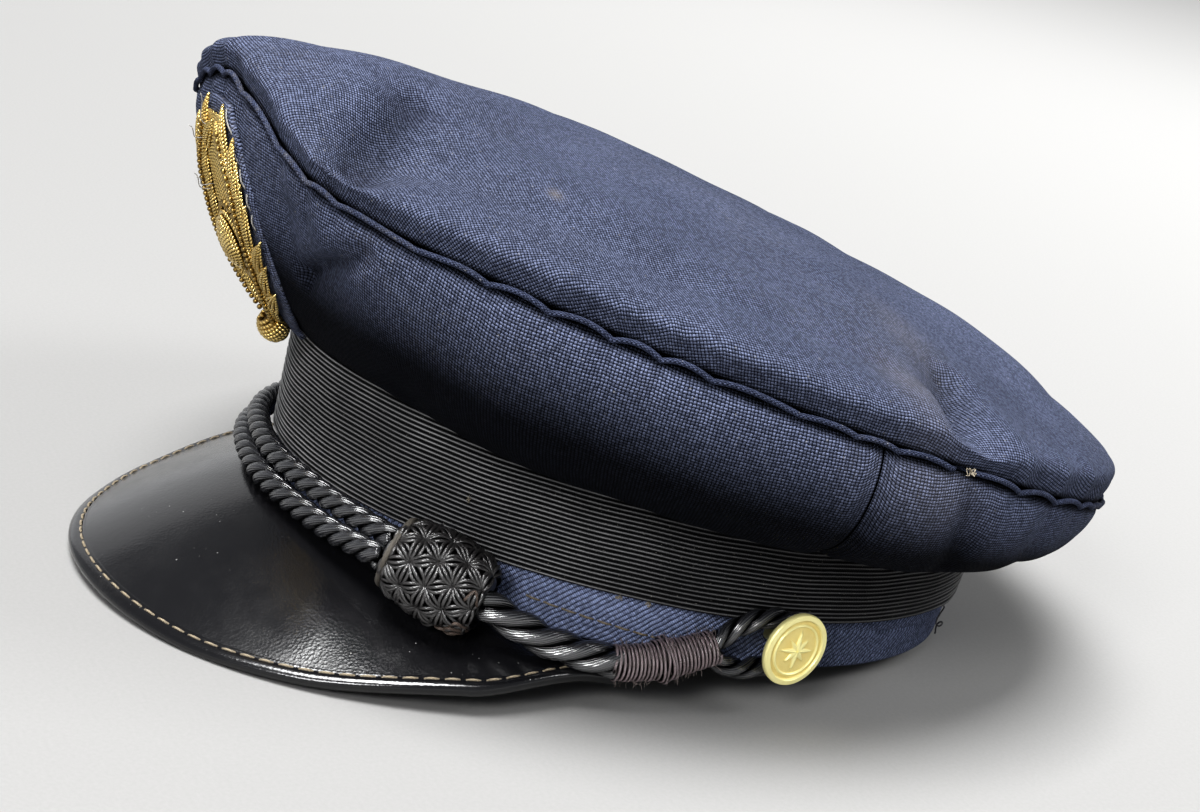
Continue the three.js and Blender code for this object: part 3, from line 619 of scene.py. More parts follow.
# Crown sides: two padded panels of coarse navy cloth, sewn to each other at both sides of the head, to
# the top of the band below and to the crown's top above. The thread pulls the cloth into puckers.
SEAM_HALF_WIDTH = 124.0
SEAM_FRONT = 138.0
SEAM_REAR = 128.0
SEAM_CENTRE_Y = -5.0
SEAM_SQUARENESS = 2.12
SEAM_CLEAR = 1.4
SEAM_PRESS = 0.7
SIDE_SEAM_TURN = 86.0
SIDE_SEAM_GAP = 0.1
SIDE_GROOVE = {"depth": 1.5, "width": 2.4}
MM_PER_TURN = 2.1
PANEL_START = BRAID_BACK + 1.5
PANEL_SEAT = BAND_HEIGHT + 0.3
PANEL_LAP = 2.0
PANEL_ROWS = 52
PANEL_TALL = 52.0
PANEL_RADIUS = 120.0
PANEL_FULLNESS = 0.75
PANEL_ROLL = 4.5
PUCKER_LIFT = 0.9
PUCKER_COUNT = 26
PAINTED_SHADE_SPAN = 0.37
CLOTH_WALL = 2.0
CROWN_THREAD = 0.78
CROWN_NAVY_LIT = (0.105, 0.121, 0.185, 1)
CROWN_NAVY_DEEP = (0.003, 0.004, 0.009, 1)
CROWN_CLOTH = navy_cloth("crown_cloth", CROWN_THREAD, CROWN_NAVY_LIT, CROWN_NAVY_DEEP, dust=0.1, bump=0.9)

# turn, height of the seam between the sides and the top
SEAM_HEIGHTS = [(0, 108), (8, 104.5), (20, 95), (32, 91.5), (45, 89), (62, 84.5), (90, 74), (115, 64),
                (145, 54.5), (180, 49)]
# turn, how far the padding stands out
PANEL_BULGE = [(0, 8), (22, 8), (50, 12), (90, 14), (180, 11)]
# turn, share of the way up below which painted shade darkens the cloth under its own roll
PAINTED_SHADE_TOP = [(0, 0.78), (20, 0.8), (35, 0.93), (55, 0.97), (180, 0.97)]
# turn, share of the way up, their spans, depth
PANEL_DENTS = [(19, 0.72, 7, 0.22, 4.5), (-21, 0.7, 8, 0.24, 3.5), (98, 0.95, 4, 0.3, 3)]
# first turn, first share up, last turn, last share up, width in millimetres, depth
PANEL_CREASES = [
    (16.5, 0.55, 30, 0.93, 2.4, 3.4),
    (19, 0.72, 33, 1.1, 6.0, -2.0),
    (-14, 0.4, -27, 0.95, 4.5, 2.8),
    (34, 0.3, 41, 0.85, 7.0, 0.9),
    (96, 1.0, 101, 0.55, 4.5, 2.6),
    (112, 0.9, 118, 0.4, 6.0, 1.0),
    (150, 0.8, 160, 0.3, 7.0, 0.9),
    (-60, 0.8, -68, 0.3, 6.0, 0.8),
    (-120, 0.85, -113, 0.35, 6.0, 1.0),
]
# strength, waves round the crown, angle of the first one: how unevenly the puckers are spaced
PUCKER_DRIFT = [(0.9, 5, 0.4), (0.6, 11, 2.1), (0.45, 17, 0)]


def signed_power(value, power):
    """Power that keeps the sign of its value."""
    return np.sign(value) * np.abs(value) ** power


def eased(share):
    """Share with soft ends."""
    return share * share * (3 - 2 * share)


def seam_point(turn):
    """Point of the seam round the crown, a rounded oval seen from above."""
    angle = np.radians(turn)
    power = 2 / SEAM_SQUARENESS
    reach = np.where(np.cos(angle) > 0, SEAM_FRONT, SEAM_REAR)
    x = SEAM_HALF_WIDTH * signed_power(np.sin(angle), power)
    y = SEAM_CENTRE_Y - reach * signed_power(np.cos(angle), power)
    return points_of(x, y, smooth_table(SEAM_HEIGHTS, from_front(turn)))


def dent_depth(dents, turn, along):
    """Depth of round dents at places of a crown surface."""
    return sum(deep * bell(turn_apart(turn, place), turn_span) * bell(along - up, up_span)
               for place, up, turn_span, up_span, deep in dents)


def panel_point(turn, along):
    """Point of the padded side, from 0 at the top of the band to 1 at the seam."""
    turn, along = np.broadcast_arrays(np.asarray(turn, float), np.asarray(along, float))
    start = band_point(turn, PANEL_START, PANEL_SEAT)
    chord = seam_point(turn) - (0, 0, SEAM_CLEAR) - start
    level = np.hypot(chord[..., 0], chord[..., 1])
    steepness = chord[..., 2] / level
    outward = points_of(chord[..., 0] * steepness, chord[..., 1] * steepness, -level)
    outward /= np.linalg.norm(chord, axis=-1, keepdims=True)
    rounded = 4 * along * (1 - along)
    bulge = smooth_table(PANEL_BULGE, from_front(turn)) * rounded ** PANEL_FULLNESS
    dent = dent_depth(PANEL_DENTS, turn, along) * np.sqrt(rounded)
    return start + chord * along[..., None] + outward * (bulge - dent)[..., None]


def seam_pucker(turn):
    """How the seam's thread gathers the cloth round the crown, from -1 to 1."""
    angle = np.radians(turn)
    strength = 0.75 + 0.25 * np.sin(7 * angle + 1.0)
    gather = np.abs(np.sin(PUCKER_COUNT * angle + waves(PUCKER_DRIFT, angle))) ** 0.8
    return strength * (1.9 * gather - 1.1)


def pucker_reach(from_seam, reach):
    """How strongly the puckers show at a distance from the seam: not in it, and not beyond their reach."""
    return np.exp(-from_seam / reach) * (1 - np.exp(-from_seam / 1.2))


def seam_dip(from_seam):
    """How far the cloth is drawn towards the seam beside it."""
    return SEAM_PRESS * np.exp(-from_seam / 2.5)


def seam_shade(from_seam):
    """Painted shade in the groove of the seam."""
    return 0.9 * bell(from_seam, 1.1)


def crease_depth(creases, across, up):
    """Depth of straight creases, given with both ends in the same measure as across and up."""
    depth = 0
    for first, first_up, last, last_up, width, deep in creases:
        run = (last - first, last_up - first_up)
        size = run[0] ** 2 + run[1] ** 2
        share = np.clip(((across - first) * run[0] + (up - first_up) * run[1]) / size, 0, 1)
        apart = np.hypot(across - first - share * run[0], up - first_up - share * run[1])
        depth = depth + deep * bell(apart, width)
    return depth


def surface_normals(grid):
    """Normals of a grid of points."""
    normal = np.cross(np.gradient(grid, axis=1), np.gradient(grid, axis=0))
    return normal / np.maximum(np.linalg.norm(normal, axis=-1, keepdims=True), 1e-9)


def padding_lumps(grid):
    """Slow unevenness of the padding, in millimetres."""
    x, y, z = np.moveaxis(grid, -1, 0)
    lump = 0.45 * np.sin(x / 9.1 + 0.6) * np.sin(y / 11.3 + 1.1)
    lump = lump + 0.3 * np.sin(x / 5.3 + z / 7.7) * np.sin(y / 6.1 - 0.5)
    return lump + 0.35 * np.sin(z / 8.3 + y / 17.0)


def panel_creases():
    """The panels' creases in millimetres round the crown and up, on the first lap and on the next."""
    creases = []
    for first, first_up, last, last_up, width, deep in PANEL_CREASES:
        for lap in (0, 360):
            start = PANEL_RADIUS * math.radians(first + lap)
            end = PANEL_RADIUS * math.radians(last + lap)
            creases.append((start, PANEL_TALL * first_up, end, PANEL_TALL * last_up, width, deep))
    return creases


def panel_sheet(first_turn, last_turn, columns):
    """Padded panel with its inner face, and how worn each corner is and how much painted shade lies on it.
    """
    turns = np.linspace(first_turn, last_turn, columns)
    along = np.linspace(0, 1, PANEL_ROWS)[:, None]
    grid = panel_point(turns[None, :], along)
    up = lengths_along(grid)
    below_seam = up[-1][None, :] - up
    cloth_round = np.radians(turns) * PANEL_RADIUS
    pull = seam_pucker(turns) * pucker_reach(below_seam, 8.0)
    rounded = 4 * along * (1 - along)
    fold = crease_depth(panel_creases(), cloth_round, along * PANEL_TALL) * np.sqrt(rounded)
    side_gap = np.minimum(turns - first_turn, last_turn - turns) * MM_PER_TURN
    groove = SIDE_GROOVE["depth"] * bell(side_gap, SIDE_GROOVE["width"]) * arch(along) ** 0.3
    front_apart = from_front(turns)
    fuller = eased(np.clip((125 - front_apart) / 35, 0, 1) * np.clip((front_apart - 15) / 35, 0, 1))
    roll = PANEL_ROLL * fuller * rounded ** 0.55
    lumps = padding_lumps(grid) * arch(along)
    outer = grid + surface_normals(grid) * (roll + lumps + PUCKER_LIFT * pull - fold - groove)[..., None]
    outer[..., 2] += seam_dip(below_seam)
    inner = outer - surface_normals(grid) * CLOTH_WALL
    lap_outer = band_point(turns, -BAND_WALL, PANEL_SEAT)
    lap_inner = band_point(turns, -BAND_WALL, PANEL_SEAT + PANEL_LAP)
    whole = np.concatenate([lap_inner[None], lap_outer[None], outer, inner[::-4], lap_inner[None]])
    measure = lengths_along(whole)
    cloth = np.stack(np.broadcast_arrays(cloth_round, measure), -1)
    shown = slice(2, 2 + PANEL_ROWS)
    wear = np.zeros(measure.shape)
    wear[shown] = 0.45 * bell(turns - 93, 6) * bell(along - 0.92, 0.2)
    # Painted shade: darker below the panel's roll, in its creases and in the groove of the seam.
    shade_below_roll = np.clip((smooth_table(PAINTED_SHADE_TOP, front_apart) - along) / PAINTED_SHADE_SPAN, 0, 1)
    fold_shade = 0.75 * np.clip(fold / 3.0, 0, 1)
    shelter = np.ones(measure.shape)
    shelter[shown] = np.maximum(shade_below_roll, np.maximum(fold_shade, seam_shade(below_seam)))
    return sheet(whole, cloth), {"worn": wear, "painted_shade": shelter}


for label, node, first_turn, last_turn, columns in (
        ("crown_front_side", "crown_front_panel", -SIDE_SEAM_TURN, SIDE_SEAM_TURN, 560),
        ("crown_rear_side", "crown_rear_panel", SIDE_SEAM_TURN, 360 - SIDE_SEAM_TURN, 600)):
    panel, marks = panel_sheet(first_turn + SIDE_SEAM_GAP, last_turn - SIDE_SEAM_GAP, columns)
    crown_side = make_piece(label, [panel], CROWN_CLOTH, node, marks)


# Crown top: one round panel of the same cloth over padding. It rolls out over the seam all round, stands
# up at the front and has sunk in the middle; one pinch at the wearer's left draws it into a crease.
TOP_PUFF = 22.8
TOP_ROUNDNESS = 1.61
TOP_SHOULDER = 0.073
TOP_SHOULDER_END = 0.16
TOP_MIDDLE = 86.8
TOP_SLOPE = 0.078
TOP_BOW = 7.4
TOP_DENT_START = 0.08
TOP_COLUMNS = 900
TOP_ROWS = 77
TOP_ROW_CROWDING = 1.7
TOP_PUCKER_LIFT = 1.1
TOP_FOLD_START = 14.0
TOP_LUMP_START = 25.0
# turn, share of the way in, their spans, depth
TOP_DENTS = [(24, 0.16, 7, 0.16, 5), (-26, 0.16, 8, 0.18, 4), (98, 0.08, 4, 0.14, 4)]
# x, y, width, length, depth; a negative depth is a swelling
TOP_HOLLOWS = [(0, 20, 70, 45, 7.4), (30, 95, 60, 28, 3.4), (50, 82, 32, 26, -5.5), (0, -128, 40, 22, -2)]
# x, y, width, length, strength: a rubbed ridge, a small bleached spot and a rubbed patch
TOP_WEAR = [(112, -4, 14, 9, 0.7), (63.7, -83.2, 2.2, 1.6, 1.6), (84, 12, 16, 9, 0.45)]
# first x, first y, last x, last y, width, depth, all in millimetres seen from above
TOP_CREASES = [
    (50, -128, 20, -104, 7.0, 5.0),
    (-52, -131, -28, -106, 6.0, 2.0),
    (124, 6, 96, 19, 4.6, 3.6),
    (118, -6, 92, 8, 6.0, -1.3),
    (118, 26, 94, 30, 6.0, -1.0),
    (112, 55, 84, 52, 8.0, 0.9),
    (100, -72, 74, -56, 9.0, 0.8),
    (20, 128, 14, 96, 8.0, 1.0),
    (-70, 105, -52, 80, 8.0, 0.9),
    (-122, 8, -92, 4, 7.0, 1.0),
]


def spots_from_above(rows, x, y):
    """Sum of the soft oval spots of a table, at places seen from above."""
    return sum(deep * bell(x - spot_x, width) * bell(y - spot_y, length)
               for spot_x, spot_y, width, length, deep in rows)


def top_point(turn, along):
    """Point of the crown's top, from 0 at the seam over the roll at its edge to 1 in the middle."""
    turn, along = np.broadcast_arrays(np.asarray(turn, float), np.asarray(along, float))
    seam = seam_point(turn)
    inward = 1 - along
    spread = inward + TOP_SHOULDER * arch(np.minimum(along / TOP_SHOULDER_END, 1))
    x = seam[..., 0] * spread
    y = SEAM_CENTRE_Y + (seam[..., 1] - SEAM_CENTRE_Y) * spread
    rise = TOP_PUFF * (1 - inward ** TOP_ROUNDNESS) ** (1 / TOP_ROUNDNESS)
    middle = TOP_MIDDLE - TOP_SLOPE * y + TOP_BOW * (y / SEAM_FRONT) ** 2
    level = seam[..., 2] * inward ** 2 + middle * (1 - inward ** 2)
    pressed = dent_depth(TOP_DENTS, turn, along) + spots_from_above(TOP_HOLLOWS, x, y)
    pressed = pressed * np.minimum(along / TOP_DENT_START, 1)
    return points_of(x, y, SEAM_CLEAR + level + rise - pressed)


def closed_ring(grid):
    """Grid with its first column again at its end."""
    return np.concatenate([grid, grid[:, :1]], axis=1)


top_turns = ring_turns(TOP_COLUMNS)
top_along = np.linspace(0, 1, TOP_ROWS + 1)[:-1] ** TOP_ROW_CROWDING
top_grid = top_point(top_turns[None, :], top_along[:, None])
top_from_seam = lengths_along(top_grid)
top_pull = seam_pucker(top_turns) * pucker_reach(top_from_seam, 9.0)
top_fold = crease_depth(TOP_CREASES, top_grid[..., 0], top_grid[..., 1])
top_fold = top_fold * np.minimum(top_from_seam / TOP_FOLD_START, 1)
top_lumps = padding_lumps(top_grid) * np.minimum(top_from_seam / TOP_LUMP_START, 1)
top_normals = surface_normals(closed_ring(top_grid))[:, :-1]
top_outer = top_grid + top_normals * (top_lumps - TOP_PUCKER_LIFT * top_pull - top_fold)[..., None]
top_outer[..., 2] -= seam_dip(top_from_seam)
top_inner = (top_outer - top_normals * CLOTH_WALL)[::5]
top_whole = np.concatenate([top_outer[::-1], top_inner])
top_first_ring = SEAM_HALF_WIDTH * (1 - top_along[-1])
top_measure = top_first_ring + lengths_along(closed_ring(top_whole))
top_angles = np.radians(np.append(top_turns, 360))
top_map = np.stack([top_measure * np.sin(top_angles), -top_measure * np.cos(top_angles)], -1)
top_wear = np.zeros(top_whole.shape[:2])
top_wear[:TOP_ROWS] = spots_from_above(TOP_WEAR, *np.moveaxis(top_outer[::-1, :, :2], -1, 0))
# Painted shade in the top's creases and in the groove of the seam.
top_fold_shade = 0.5 * np.clip(top_fold / 4.5, 0, 1)
top_painted_shade = np.zeros(top_whole.shape[:2])
top_painted_shade[:TOP_ROWS] = np.maximum(top_fold_shade, seam_shade(top_from_seam))[::-1]
crown_top = make_piece("crown_top_cloth", [sheet(top_whole, top_map, ring=True, capped=True)], CROWN_CLOTH,
                       "crown_top", {"worn": top_wear, "painted_shade": top_painted_shade})


# Piping: a thin welt of bias-cut navy cloth caught in the seam between the sides and the top. The thread
# pulls it into small waves, and at the pinch on the wearer's left it is drawn in and frayed.
PIPING_RADIUS = 0.7
PIPING_STEPS = 1500
PIPING_SIDES = 12
PIPING_LENGTH = 800.0
PIPING_GIRTH = 7.2
PIPING_WAVE = 0.9
PIPING_OUT = 0.9
PIPING_OUT_WAVE = 0.3
PINCH_TURN = 95.4
PINCH_SPAN = 1.3
PINCH_DEPTH = 3.2
PINCH_SEED = 41
# The piping's colours are darker than the crown cloth's: painted shade of the seam's groove.
PIPING_NAVY_LIT = (0.055, 0.065, 0.105, 1)
PIPING_NAVY_DEEP = (0.008, 0.01, 0.022, 1)
PIPING_CLOTH = navy_cloth("piping_cloth", 0.7, PIPING_NAVY_LIT, PIPING_NAVY_DEEP, dust=0.3, bump=0.6)

piping_turns = ring_turns(PIPING_STEPS)
piping_path = seam_point(piping_turns)
piping_out = unit((piping_path - (0, SEAM_CENTRE_Y, 0)) * (1, 1, 0))
piping_pinch = PINCH_DEPTH * bell(turn_apart(piping_turns, PINCH_TURN), PINCH_SPAN)
piping_wave = seam_pucker(piping_turns)
piping_path[:, 2] += PIPING_WAVE * piping_wave
piping_path += piping_out * (PIPING_OUT + PIPING_OUT_WAVE * piping_wave - piping_pinch)[:, None]
piping_ahead = unit(np.roll(piping_path, -1, axis=0) - np.roll(piping_path, 1, axis=0))
piping_aside = unit(np.cross(piping_ahead, (0, 0, 1)))
piping_above = np.cross(piping_aside, piping_ahead)
piping_round = around(piping_aside, piping_above, ring_angles(PIPING_SIDES))
piping_grid = piping_path[:, None] + PIPING_RADIUS * piping_round
piping_along = np.linspace(0, PIPING_LENGTH, PIPING_STEPS + 1)[:, None]
piping_girth = np.linspace(0, PIPING_GIRTH, PIPING_SIDES + 1)[None, :]
piping_bias = np.stack([piping_along + piping_girth, piping_along - piping_girth], -1) * 0.707
piping_sheet = sheet(np.concatenate([piping_grid, piping_grid[:1]]), piping_bias, ring=True)
make_piece("seam_piping", [piping_sheet], PIPING_CLOTH, "crown_piping")

pinch_place = seam_point(PINCH_TURN + 0.6) + (0.6, 0, 0.4)
frays = tuft(pinch_place, (0.6, 0.2, 0), (0.4, 0.9, 0.6), 11, np.random.default_rng(PINCH_SEED))
make_piece("pinch_fray", frays, FRAYED_THREAD)


# Peak: stiff black patent leather, moulded to a curve and sewn along its inner edge to the front of the
# band. Its upper face is glossy with a fine grain, rubbed and specked with pale dust.
PEAK_HALF_WIDTH = 92.6
PEAK_RISE = 38.4
PEAK_REACH = 115.2
PEAK_ROOT_TURN = 69.0
PEAK_ROOT_GAP = 0.3
PEAK_THICK = 2.2
PEAK_CROWN = 1.2
PEAK_CROWN_REACH = 50.0
PEAK_UNDER_TURN = 0.3
PEAK_CLOSE_FROM = 0.76
PEAK_END_REACH = 7.5
PEAK_END_DROP = 2.5
PEAK_END = 0.985
PEAK_COLUMNS = 260
PEAK_ROWS = 44
PEAK_MAP_WIDTH = 150.0
BINDING_WIDTH = 5.6
BINDING_THICK = 3.6
PEAK_BLACK = (0.006, 0.006, 0.007, 1)
PEAK_SPECK = (0.6, 0.6, 0.58, 1)
# turn, height at which the peak meets the band
PEAK_ROOT = [(0, 6), (40, 3.6), (69, -3)]
# share of the way from the middle to an end, height of the outer edge
PEAK_EDGE_HEIGHTS = [(0, -22.2), (0.3, -22.6), (0.5, -19.8), (0.75, -10.9), (1, -5)]


def peak_root(share):
    """Point where the peak meets the band; share runs from -1 at the wearer's right to 1 at the left."""
    turn = share * PEAK_ROOT_TURN
    return band_point(turn, PEAK_ROOT_GAP, smooth_table(PEAK_ROOT, np.abs(turn)))


def peak_edge(share):
    """Outer edge of the peak, which closes in on the band towards both ends."""
    angle = np.radians(share * 90)
    height = smooth_table(PEAK_EDGE_HEIGHTS, np.abs(share))
    swept = points_of(PEAK_HALF_WIDTH * np.sin(angle), -PEAK_RISE - PEAK_REACH * np.cos(angle), height)
    turn = np.radians(share * PEAK_ROOT_TURN)
    aside = unit(points_of(np.sin(turn) / BAND_HALF_WIDTH, -np.cos(turn) / BAND_HALF_LENGTH, 0))
    close = peak_root(share) + aside * PEAK_END_REACH - (0, 0, PEAK_END_DROP)
    near = np.clip((np.abs(share) - PEAK_CLOSE_FROM) / (1 - PEAK_CLOSE_FROM), 0, 1)
    blend = eased(near)[..., None]
    return swept * (1 - blend) + close * blend


def peak_point(share, across):
    """Point of the peak's upper face, from 0 at the band to 1 at the outer edge."""
    share, across = np.broadcast_arrays(np.asarray(share, float), np.asarray(across, float))
    root = peak_root(share)
    edge = peak_edge(share)
    reach = np.linalg.norm(edge - root, axis=-1)
    crown = PEAK_CROWN * 4 * across * (1 - across) * np.minimum(reach / PEAK_CROWN_REACH, 1)
    return root + (edge - root) * across[..., None] + points_of(0, 0, crown)


def peak_normals(share, across):
    """Direction outwards across the peak and its upward normal."""
    along = peak_point(share + 0.01, across) - peak_point(share - 0.01, across)
    outward = unit(peak_point(share, across + 0.01) - peak_point(share, across - 0.01))
    normal = unit(np.cross(outward, along))
    return outward, normal * np.sign(normal[..., 2:])


def patent_leather(name, gloss, scuffs):
    """Glossy black leather: gloss is its roughness, scuffs how much pale rubbing shows."""
    material, tree, shader, place, _ = new_material(name)
    settled = group_outputs(tree, SETTLED_DUST, Place=place, Patch=26.0, Speck=900.0, Rarity=0.78)
    smear = ranged(tree, noise(tree, place, 55.0, 5.0, 0.65), 0.35, 0.75)
    dusty = maths(tree, "MULTIPLY", maths(tree, "MULTIPLY", settled["Dust"], smear), scuffs)
    specks = maths(tree, "MULTIPLY", settled["Specks"], 0.4)
    dull = maths(tree, "MULTIPLY_ADD", smear, 0.08, gloss)
    grain = add_node(tree, "ShaderNodeTexVoronoi", {"Vector": place, "Scale": 1300.0}).outputs["Distance"]
    uneven = raised(tree, noise(tree, place, 60.0, 2.0), 0.12, 0.001)
    set_inputs(tree, shader, {
        "Base Color": mixed(tree, specks, mixed(tree, dusty, PEAK_BLACK, DUST_GREY), PEAK_SPECK),
        "Roughness": maths(tree, "MULTIPLY_ADD", dusty, 0.5, dull),
        "Specular IOR Level": 0.55,
        "Normal": raised(tree, grain, 0.25, 0.0001, Normal=uneven),
    })
    return material


peak_shares = np.linspace(-PEAK_END, PEAK_END, PEAK_COLUMNS)
peak_reach = np.linalg.norm(peak_edge(peak_shares) - peak_root(peak_shares), axis=-1)
peak_across = np.linspace(0, 1, PEAK_ROWS)[:, None] * (1 - 0.6 * BINDING_WIDTH / peak_reach)
peak_upper = peak_point(peak_shares, peak_across)
peak_up = peak_normals(peak_shares, np.maximum(peak_across, 0.02))[1]
peak_turned = np.minimum(peak_across / PEAK_UNDER_TURN, 1)[..., None]
peak_depth = unit(peak_up * peak_turned + points_of(0, 0, 1) * (1 - peak_turned)) * PEAK_THICK
peak_under = (peak_upper - peak_depth)[::-2]
peak_whole = np.concatenate([peak_under[-1:], peak_upper, peak_under])
peak_map = np.stack(np.broadcast_arrays(peak_shares * PEAK_MAP_WIDTH, lengths_along(peak_whole)), -1)
make_piece("peak_leather", [sheet(peak_whole, peak_map)],
           patent_leather("peak_leather", gloss=0.16, scuffs=0.012), "peak")


# Peak binding: a strip of the same leather folded over the peak's edge into a round welt and sewn
# through with one row of brown-beige stitches, which lie in the groove that they pull.
BINDING_STEPS = 420
BINDING_SIDES = 36
BINDING_LENGTH = 340.0
BINDING_GIRTH = 16.0
BINDING_SQUARENESS = 0.7
BINDING_GROOVE = {"place": -0.9, "width": 0.5, "depth": 0.55, "step": 0.35}
WELT_STITCH = {"pitch": 5.0, "length": 3.6, "radius": 0.33, "from_end": 6, "sunk": 0.5}


def at_lengths(spots, lengths, rows):
    """Points at given lengths along rows of points."""
    return np.stack([np.interp(spots, lengths, rows[:, axis]) for axis in range(3)], -1)


binding_shares = np.linspace(-PEAK_END, PEAK_END, BINDING_STEPS)
binding_out, binding_up = peak_normals(binding_shares, 0.97)
binding_middle = peak_edge(binding_shares) - binding_out * BINDING_WIDTH / 2 - binding_up * PEAK_THICK / 2
binding_angles = ring_angles(BINDING_SIDES)
binding_wide = signed_power(np.cos(binding_angles), BINDING_SQUARENESS) * BINDING_WIDTH / 2
binding_high = signed_power(np.sin(binding_angles), BINDING_SQUARENESS) * BINDING_THICK / 2
groove_dip = BINDING_GROOVE["depth"] * bell(binding_wide - BINDING_GROOVE["place"], BINDING_GROOVE["width"])
groove_step = np.where(binding_wide < BINDING_GROOVE["place"], BINDING_GROOVE["step"], 0)
binding_high = binding_high - np.where(binding_high > 0, groove_dip + groove_step, 0)
binding_grid = (binding_middle[:, None] + binding_out[:, None] * binding_wide[:, None]
                + binding_up[:, None] * binding_high[:, None])
binding_girth = np.linspace(0, BINDING_GIRTH, BINDING_SIDES + 1)[None, :]
binding_length = np.linspace(0, BINDING_LENGTH, BINDING_STEPS)[:, None]
binding_map = np.stack(np.broadcast_arrays(binding_length, binding_girth), -1)
make_piece("peak_welt", [sheet(binding_grid, binding_map, ring=True, capped=True)],
           patent_leather("welt_leather", gloss=0.12, scuffs=0.04), "peak_binding")

groove_lift = BINDING_THICK / 2 - WELT_STITCH["sunk"]
groove_line = binding_middle + binding_out * BINDING_GROOVE["place"] + binding_up * groove_lift
groove_length = lengths_along(groove_line)
welt_stitches = []
groove_end = groove_length[-1] - WELT_STITCH["from_end"]
for start in np.arange(WELT_STITCH["from_end"], groove_end, WELT_STITCH["pitch"]):
    spots = start + WELT_STITCH["length"] * stitch_share
    normal = at_lengths(spots, groove_length, binding_up)
    rise = (0.35 * arch(stitch_share) - 0.15)[:, None]
    stitch = at_lengths(spots, groove_length, groove_line) + normal * rise
    welt_stitches.append(tube(stitch, WELT_STITCH["radius"], 6, facing=normal))
make_piece("welt_stitching", welt_stitches, STITCH_THREAD)


# Badge: a cloth patch sewn to the front of the crown, worked in gold wire. Two leafy sprays of coiled
# wire rise round a plain domed boss with a ring of beads, and a wire knob holds the stems together.
BACKING_SEAT = 0.5
BACKING_THICK = 1.2
BACKING_COLUMNS = 41
BACKING_ROWS = 44
BACKING_EDGE = 0.14
BACKING_THREAD = 0.6
BADGE_TALL = 66.0
SPRAY_FLOOR = BACKING_SEAT + BACKING_THICK + 0.5
STEM_RADIUS = 0.75
STEM_STEPS = 60
LEAF_PAIRS = 9
LEAF_STEPS = 18
LEAF_WIRES = 5
LEAF_LENGTH = 17.0
LEAF_WIDTH = 2.2
WIRE_RADIUS = 0.42
SPRAY_BEAD = 0.7
BOSS_ALONG = 0.46
BOSS_RADIUS = 7.0
BOSS_HEIGHT = 3.6
BOSS_WIRE = 0.62
BOSS_TURNS = 7.5
RING_BEAD = 0.95
RING_BEADS = 26
RING_RADIUS = BOSS_RADIUS + 1.6
COUCHED_ROWS = 17
KNOB_ALONG = 0.12
KNOB_RADIUS = 4.4
KNOB_HALF_TALL = 4.0
KNOB_WIRE = 0.6
KNOB_TURNS = 8
GOLD_BRIGHT = (0.86, 0.66, 0.27, 1)
GOLD_DULL = (0.42, 0.29, 0.1, 1)
GOLD_TARNISH = (0.16, 0.1, 0.03, 1)
# share of the way up, half width of the patch
BACKING_OUTLINE = [(0.06, 7), (0.2, 14), (0.45, 20), (0.7, 19), (0.86, 13.5), (0.95, 7)]
# share of the way up, distance from the middle of a spray's stem
SPRAY_STEM = [(0.11, 2.5), (0.24, 8), (0.45, 13), (0.68, 12.5), (0.88, 6.5)]


def on_front(across, along, lift):
    """Point over the front panel, so far across from its middle line and so far up it, and its normal."""
    across, along = np.broadcast_arrays(np.asarray(across, float), np.asarray(along, float))
    low = np.full(across.shape, -60.0)
    high = np.full(across.shape, 60.0)
    for _ in range(30):
        middle = (low + high) / 2
        short = panel_point(middle, along)[..., 0] < across
        low = np.where(short, middle, low)
        high = np.where(short, high, middle)
    round_way = panel_point(low + 0.2, along) - panel_point(low - 0.2, along)
    upward = panel_point(low, np.minimum(along + 0.002, 1)) - panel_point(low, np.maximum(along - 0.002, 0))
    normal = unit(np.cross(round_way, upward))
    return panel_point(low, along) + normal * np.asarray(lift)[..., None], normal


backing_along = np.linspace(BACKING_OUTLINE[0][0], BACKING_OUTLINE[-1][0], BACKING_ROWS)[:, None]
backing_half = smooth_table(BACKING_OUTLINE, backing_along)
backing_shares = np.linspace(-1, 1, BACKING_COLUMNS)
backing_across = backing_shares * backing_half
backing_edge = np.maximum(np.abs(backing_shares) - (1 - BACKING_EDGE), 0) / BACKING_EDGE
backing_lift = BACKING_SEAT + BACKING_THICK * np.sqrt(np.maximum(1 - backing_edge ** 2, 0.05))
backing_front = on_front(backing_across, backing_along, backing_lift)[0]
backing_rear = on_front(backing_across, backing_along, BACKING_SEAT - 0.3)[0]
backing_whole = np.concatenate([backing_front, backing_rear[:, ::-1]], axis=1)
backing_sides = closed_ring(np.concatenate([backing_across, backing_across[:, ::-1]], axis=1))
backing_map = np.stack(np.broadcast_arrays(backing_sides, backing_along * BADGE_TALL), -1)
make_piece("badge_patch", [sheet(backing_whole, backing_map, ring=True, capped=True)],
           navy_cloth("patch_cloth", BACKING_THREAD, CROWN_NAVY_LIT, CROWN_NAVY_DEEP, dust=0.3, bump=0.7),
           "badge_backing")


def wire_material():
    """Gold wire wound in fine rings, bright on its crests and tarnished between them."""
    material, tree, shader, place, cloth = new_material("gold_wire")
    yarn = group_outputs(tree, TWISTED_YARN, Yarn=cloth, Threads=1.0, Twist=1.1)
    dull = ranged(tree, noise(tree, place, 130.0, 3.0, 0.6), 0.35, 0.7, 0.0, 0.7)
    crest = ranged(tree, yarn["Height"], 0.05, 0.6, 0.25, 1.0)
    shine = mixed(tree, dull, GOLD_BRIGHT, GOLD_DULL)
    set_inputs(tree, shader, {
        "Base Color": mixed(tree, crest, GOLD_TARNISH, shine),
        "Roughness": ranged(tree, dull, 0.0, 0.7, 0.26, 0.5),
        "Metallic": 1.0,
        "Normal": raised(tree, yarn["Height"], 0.8, 0.0003),
    })
    return material


GOLD_WIRE = wire_material()


